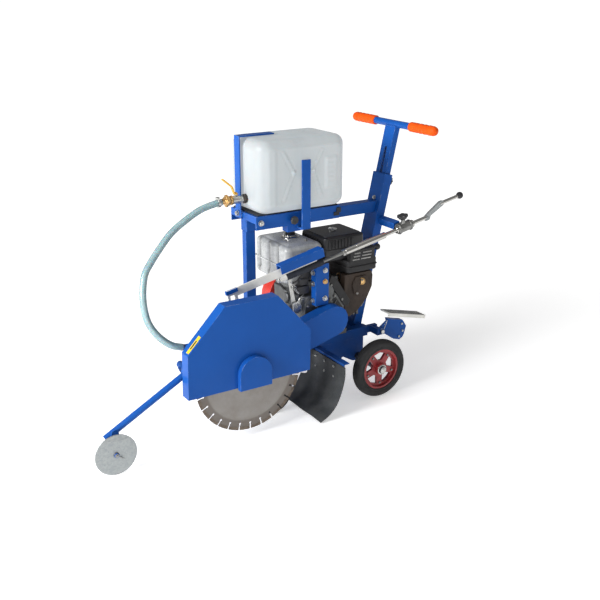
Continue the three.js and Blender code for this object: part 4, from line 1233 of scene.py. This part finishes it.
def carburettor():
    """Carburettor, intake elbow, governor lever, springs and fuel line, on the front face."""
    bm = bmesh.new()
    block(bm, MACHINE, 52, 104, -346, -309, 424, 470)
    lathe(bm, aimed((78, -330, 424), DOWN), [(23, 0), (24, 4), (22, 26), (14, 32), (0, 33)], 32)
    lathe(bm, aimed((78, -346, 448), FRONT), [(19, 0), (19, 8), (15, 11), (0, 11)], 32)
    block(bm, MACHINE, 20, 52, -330, -309, 404, 452)
    piece("carburettor", bm, alloy, 1.4)
    bm = bmesh.new()
    tube(bm, MACHINE, [(78, -330, 468), (84, -322, 484), (96, -300, 502), (98, -268, 530),
                       (92, -232, 556), (88, -196, 566)],
         20, 20, 6)
    block(bm, MACHINE, 98, 122, -330, -276, 462, 494)
    block(bm, MACHINE, 106, 126, -316, -282, 500, 524)
    piece("intake_elbow", bm, black, 1.6)
    bm = bmesh.new()
    lever = [(-372, 548), (-364, 554), (-352, 530), (-340, 470), (-326, 404), (-334, 398),
             (-344, 408), (-356, 476), (-366, 528)]
    slab(bm, SIDE, lever, 112, 115)
    lathe(bm, aimed((110, -332, 406), RIGHT), [(8, 0), (8, 9), (0, 9)], 20)
    lathe(bm, aimed((111, -362, 544), RIGHT), [(7, 0), (7, 7), (0, 7)], 20)
    plate = [(-346, 436), (-318, 436), (-310, 420), (-310, 396), (-330, 388), (-346, 400)]
    slab(bm, SIDE, plate, 118, 121)
    tube(bm, MACHINE, [(116, -356, 520), (118, -338, 500), (112, -318, 486), (100, -310, 476)], 1.6,
         8, 5)
    tube(bm, MACHINE, [(122, -330, 430), (126, -318, 452), (122, -300, 462)], 1.8, 8, 5)
    piece("governor_lever", bm, bright, 0.4)
    bm = bmesh.new()
    for start, end in (((123, -338, 412), (124, -306, 446)), ((118, -350, 500), (120, -322, 470))):
        a, b = Vector(start), Vector(end)
        axis = (b - a).normalized()
        u = axis.orthogonal().normalized()
        v = axis.cross(u)
        coil = [a + (b - a) * k / 96 + (u * cos(k * 0.785) + v * sin(k * 0.785)) * 4.2 for k in range(97)]
        tube(bm, MACHINE, coil, 0.9, 6, 0)
    piece("governor_springs", bm, bright, 0)
    bm = bmesh.new()
    tube(bm, MACHINE, [(-10, -330, 498), (0, -336, 484), (30, -338, 470), (52, -334, 460)], 4.2, 12,
         6)
    piece("fuel_line", bm, belt_rubber, 0)


carburettor()


RECOIL = (-205, 375)


def recoil():
    """Vents, screws and centre disc of the starter cover, and a stub of its rope."""
    bm = bmesh.new()
    axis = aimed((0, *RECOIL), LEFT)
    for k in range(16):
        m = axis @ Matrix.Rotation(2 * pi * k / 16, 4, "Z")
        slab(bm, m, [(66, -4), (98, -6.5), (98, 6.5), (66, 4)], 184.6, 190.4 if k % 2 else 189.6)
    piece("recoil_vents", bm, soot, 0.6)
    bm = bmesh.new()
    lathe(bm, axis, [(40, 196.4), (40, 199), (34, 200.4), (0, 200.4)], 48)
    for k in range(4):
        a = radians(45 + 90 * k)
        hex_head(bm, aimed((-172, *on_ring(RECOIL, 112, a)), LEFT), 9, 5, 0, 14)
    piece("recoil_disc", bm, dull, 0.4)
    bm = bmesh.new()
    tube(bm, MACHINE, [(-197, -160, 418), (-202, -150, 424), (-206, -136, 432)], 2.4, 10, 5)
    piece("starter_rope", bm, rubber, 0)


recoil()


# ---------- valve and hose fittings ----------
def on_pipe(y, spin=0.0):
    """A frame on the valve's axis, looking forward."""
    return aimed((15, y, 838), FRONT, spin)


def valve():
    """Bands, socket, nut rings and the band on the hose."""
    bm = bmesh.new()
    for y0, r in ((-500, 13.4), (-546, 13.4), (-505, 12.6)):
        lathe(bm, on_pipe(y0), [(11, 0), (r, 0.6), (r, 3.6), (11, 4.2)], 32)
    lathe(bm, aimed((15, -527, 852), UP), [(8, 0), (8, 3), (6, 4.6), (0, 4.6)], 24)
    piece("valve_bands", bm, bright, 0)
    bm = bmesh.new()
    hex_head(bm, on_pipe(-490, 0.2), 32, 6, 0, 0)
    piece("valve_socket", bm, dark_fitting, 0.6)
    bm = bmesh.new()
    lathe(bm, on_pipe(-557), [(12, 0), (18.4, 0.6), (18.4, 5), (17, 6.6), (12, 6.6)], 40)
    lathe(bm, on_pipe(-568), [(12, 0), (16.4, 0.6), (16.4, 4.4), (12, 5)], 40)
    rings = []
    for scale, h in ((0.80, 0.0), (1.0, 1.2), (1.0, 8.6), (0.80, 9.8)):
        ring = []
        for k in range(48):
            a = 2 * pi * k / 48
            reach = 23.0 * scale * (0.90 + 0.10 * cos(4 * a))
            ring.append(on_pipe(-561) @ Vector((reach * cos(a), reach * sin(a), h)))
        rings.append(ring)
    loft(bm, rings)
    hex_head(bm, on_pipe(-543, 0.5), 32, 9, 0, 0)
    piece("hose_nut_rings", bm, brass, 0)
    bm = bmesh.new()
    axis = aimed((15, -594, 835.2), (0, -1, -0.1))
    lathe(bm, axis, [(13.4, 0), (16.6, 0), (16.6, 9.5), (13.4, 9.5)], 40, closed=True)
    block(bm, axis, -8, 8, 14, 21, -1, 10.5)
    piece("hose_band", bm, bright, 0.2)


valve()


# ---------- foot pedal ----------
def pedal():
    """Tread pattern, folded lip and return spring."""
    m = leaning(-13.8, 125, 189, 292)
    bm = bmesh.new()
    for i in range(5):
        for j in range(13):
            turn = radians(45 if (i + j) % 2 else -45)
            spot = m @ shift(-20 + 10 * i, -90 + 15 * j, 3) @ Matrix.Rotation(turn, 4, "Z")
            slab(bm, spot, [(-5.2, 0), (0, -1.3), (5.2, 0), (0, 1.3)], -0.2, 1.1)
    piece("pedal_tread", bm, bright, 0, body="pedal")
    bm = bmesh.new()
    block(bm, m, 24.6, 28.9, -100.6, 100.6, -12.6, 2.2)
    block(bm, m, -28.4, 28.6, -100.8, -98.6, -3.4, 3.4)
    coil = []
    for k in range(81):
        a = k * 0.42
        coil.append((129.5 + 0.17 * k, 66 + 10.5 * cos(a), 240 + 10.5 * sin(a)))
    spring = bmesh.new()
    tube(spring, MACHINE, coil, 1.5, 8, 0)
    tube(spring, MACHINE, [(143.4, 76, 245), (143.6, 84, 262), (140, 96, 282)], 1.5, 8, 4)
    piece("pedal_spring", spring, bright, 0)
    piece("pedal_lip", bm, bar_steel, 0.8, body="pedal")


pedal()


# ---------- stop knob ----------
def stop_knob():
    """Ball and stem of the pull-to-stop knob."""
    bm = bmesh.new()
    ball = aimed((76, 80, 583), REAR)
    lathe(bm, ball, [(5, -12.6)] + ball_profile(13.4, -66, 10.4), 36)
    piece("stop_knob_ball", bm, black, 0, ["control_knob"], body="control_knob")
    bm = bmesh.new()
    lathe(bm, aimed((76, 2.4, 583), REAR), [(4, 0), (4, 66), (0, 66)], 20)
    piece("stop_knob_stem", bm, bright, 0.2, body="control_knob")


stop_knob()


# ---------- floor and light ----------
def floor():
    """A pale plane that emits some light, so that it stays near white."""
    bm = bmesh.new()
    size = 160.0
    corners = [(-size, -size), (size, -size), (size, size), (-size, size)]
    bm.faces.new([bm.verts.new((x, y, -0.0005)) for x, y in corners])
    mesh = bpy.data.meshes.new("floor")
    bm.to_mesh(mesh)
    bm.free()
    made = bpy.data.objects.new("floor", mesh)
    bpy.context.scene.collection.objects.link(made)
    n = Nodes("pale_floor")
    n.give("Base Color", n.mix(n.span(n.noise(0.8, 3.0), 0.3, 0.7, 0, 1), (0.93, 0.93, 0.93),
                               (0.95, 0.95, 0.95)))
    span = n.add("ShaderNodeVectorMath", operation="LENGTH")
    n.link(n.place, span.inputs[0])
    n.give("Emission Strength", n.span(span.outputs["Value"], 0.9, 3.2, 0.46, 0.80))
    n.shader.inputs["Emission Color"].default_value = (1, 1, 1, 1)
    n.set(Roughness=0.9, Specular_IOR_Level=0.1)
    mesh.materials.append(n.material)


def area_light(name, place, aim, size, power, color=(1, 1, 1)):
    data = bpy.data.lights.new(name, "AREA")
    data.shape = "DISK"
    data.size = size
    data.energy = power
    data.color = color
    light = bpy.data.objects.new(name, data)
    bpy.context.scene.collection.objects.link(light)
    light.location = place
    light.rotation_euler = (Vector(aim) - Vector(place)).to_track_quat("-Z", "Y").to_euler()


def sky(seen, cast):
    """A white backdrop that casts less light than it shows, so that the colours stay deep."""
    world = bpy.data.worlds.new("studio")
    world.use_nodes = True
    tree = world.node_tree
    background = tree.nodes["Background"]
    path = tree.nodes.new("ShaderNodeLightPath")
    strength = tree.nodes.new("ShaderNodeMix")
    strength.data_type = "FLOAT"
    strength.inputs[2].default_value = cast
    strength.inputs[3].default_value = seen
    tree.links.new(path.outputs["Is Camera Ray"], strength.inputs[0])
    tree.links.new(strength.outputs[0], background.inputs["Strength"])
    background.inputs["Color"].default_value = (1, 1, 1, 1)
    bpy.context.scene.world = world


floor()
sky(seen=1.0, cast=0.28)
area_light("key", (0.55, -4.3, 2.3), (0, -0.2, 0.6), 2.2, 290)
area_light("fill", (4.5, -0.4, 2.4), (0, 0, 0.5), 3.0, 6)
area_light("top", (0.2, 0.6, 4.6), (0, 0, 0), 3.0, 6)
bpy.context.scene.view_settings.view_transform = "Standard"
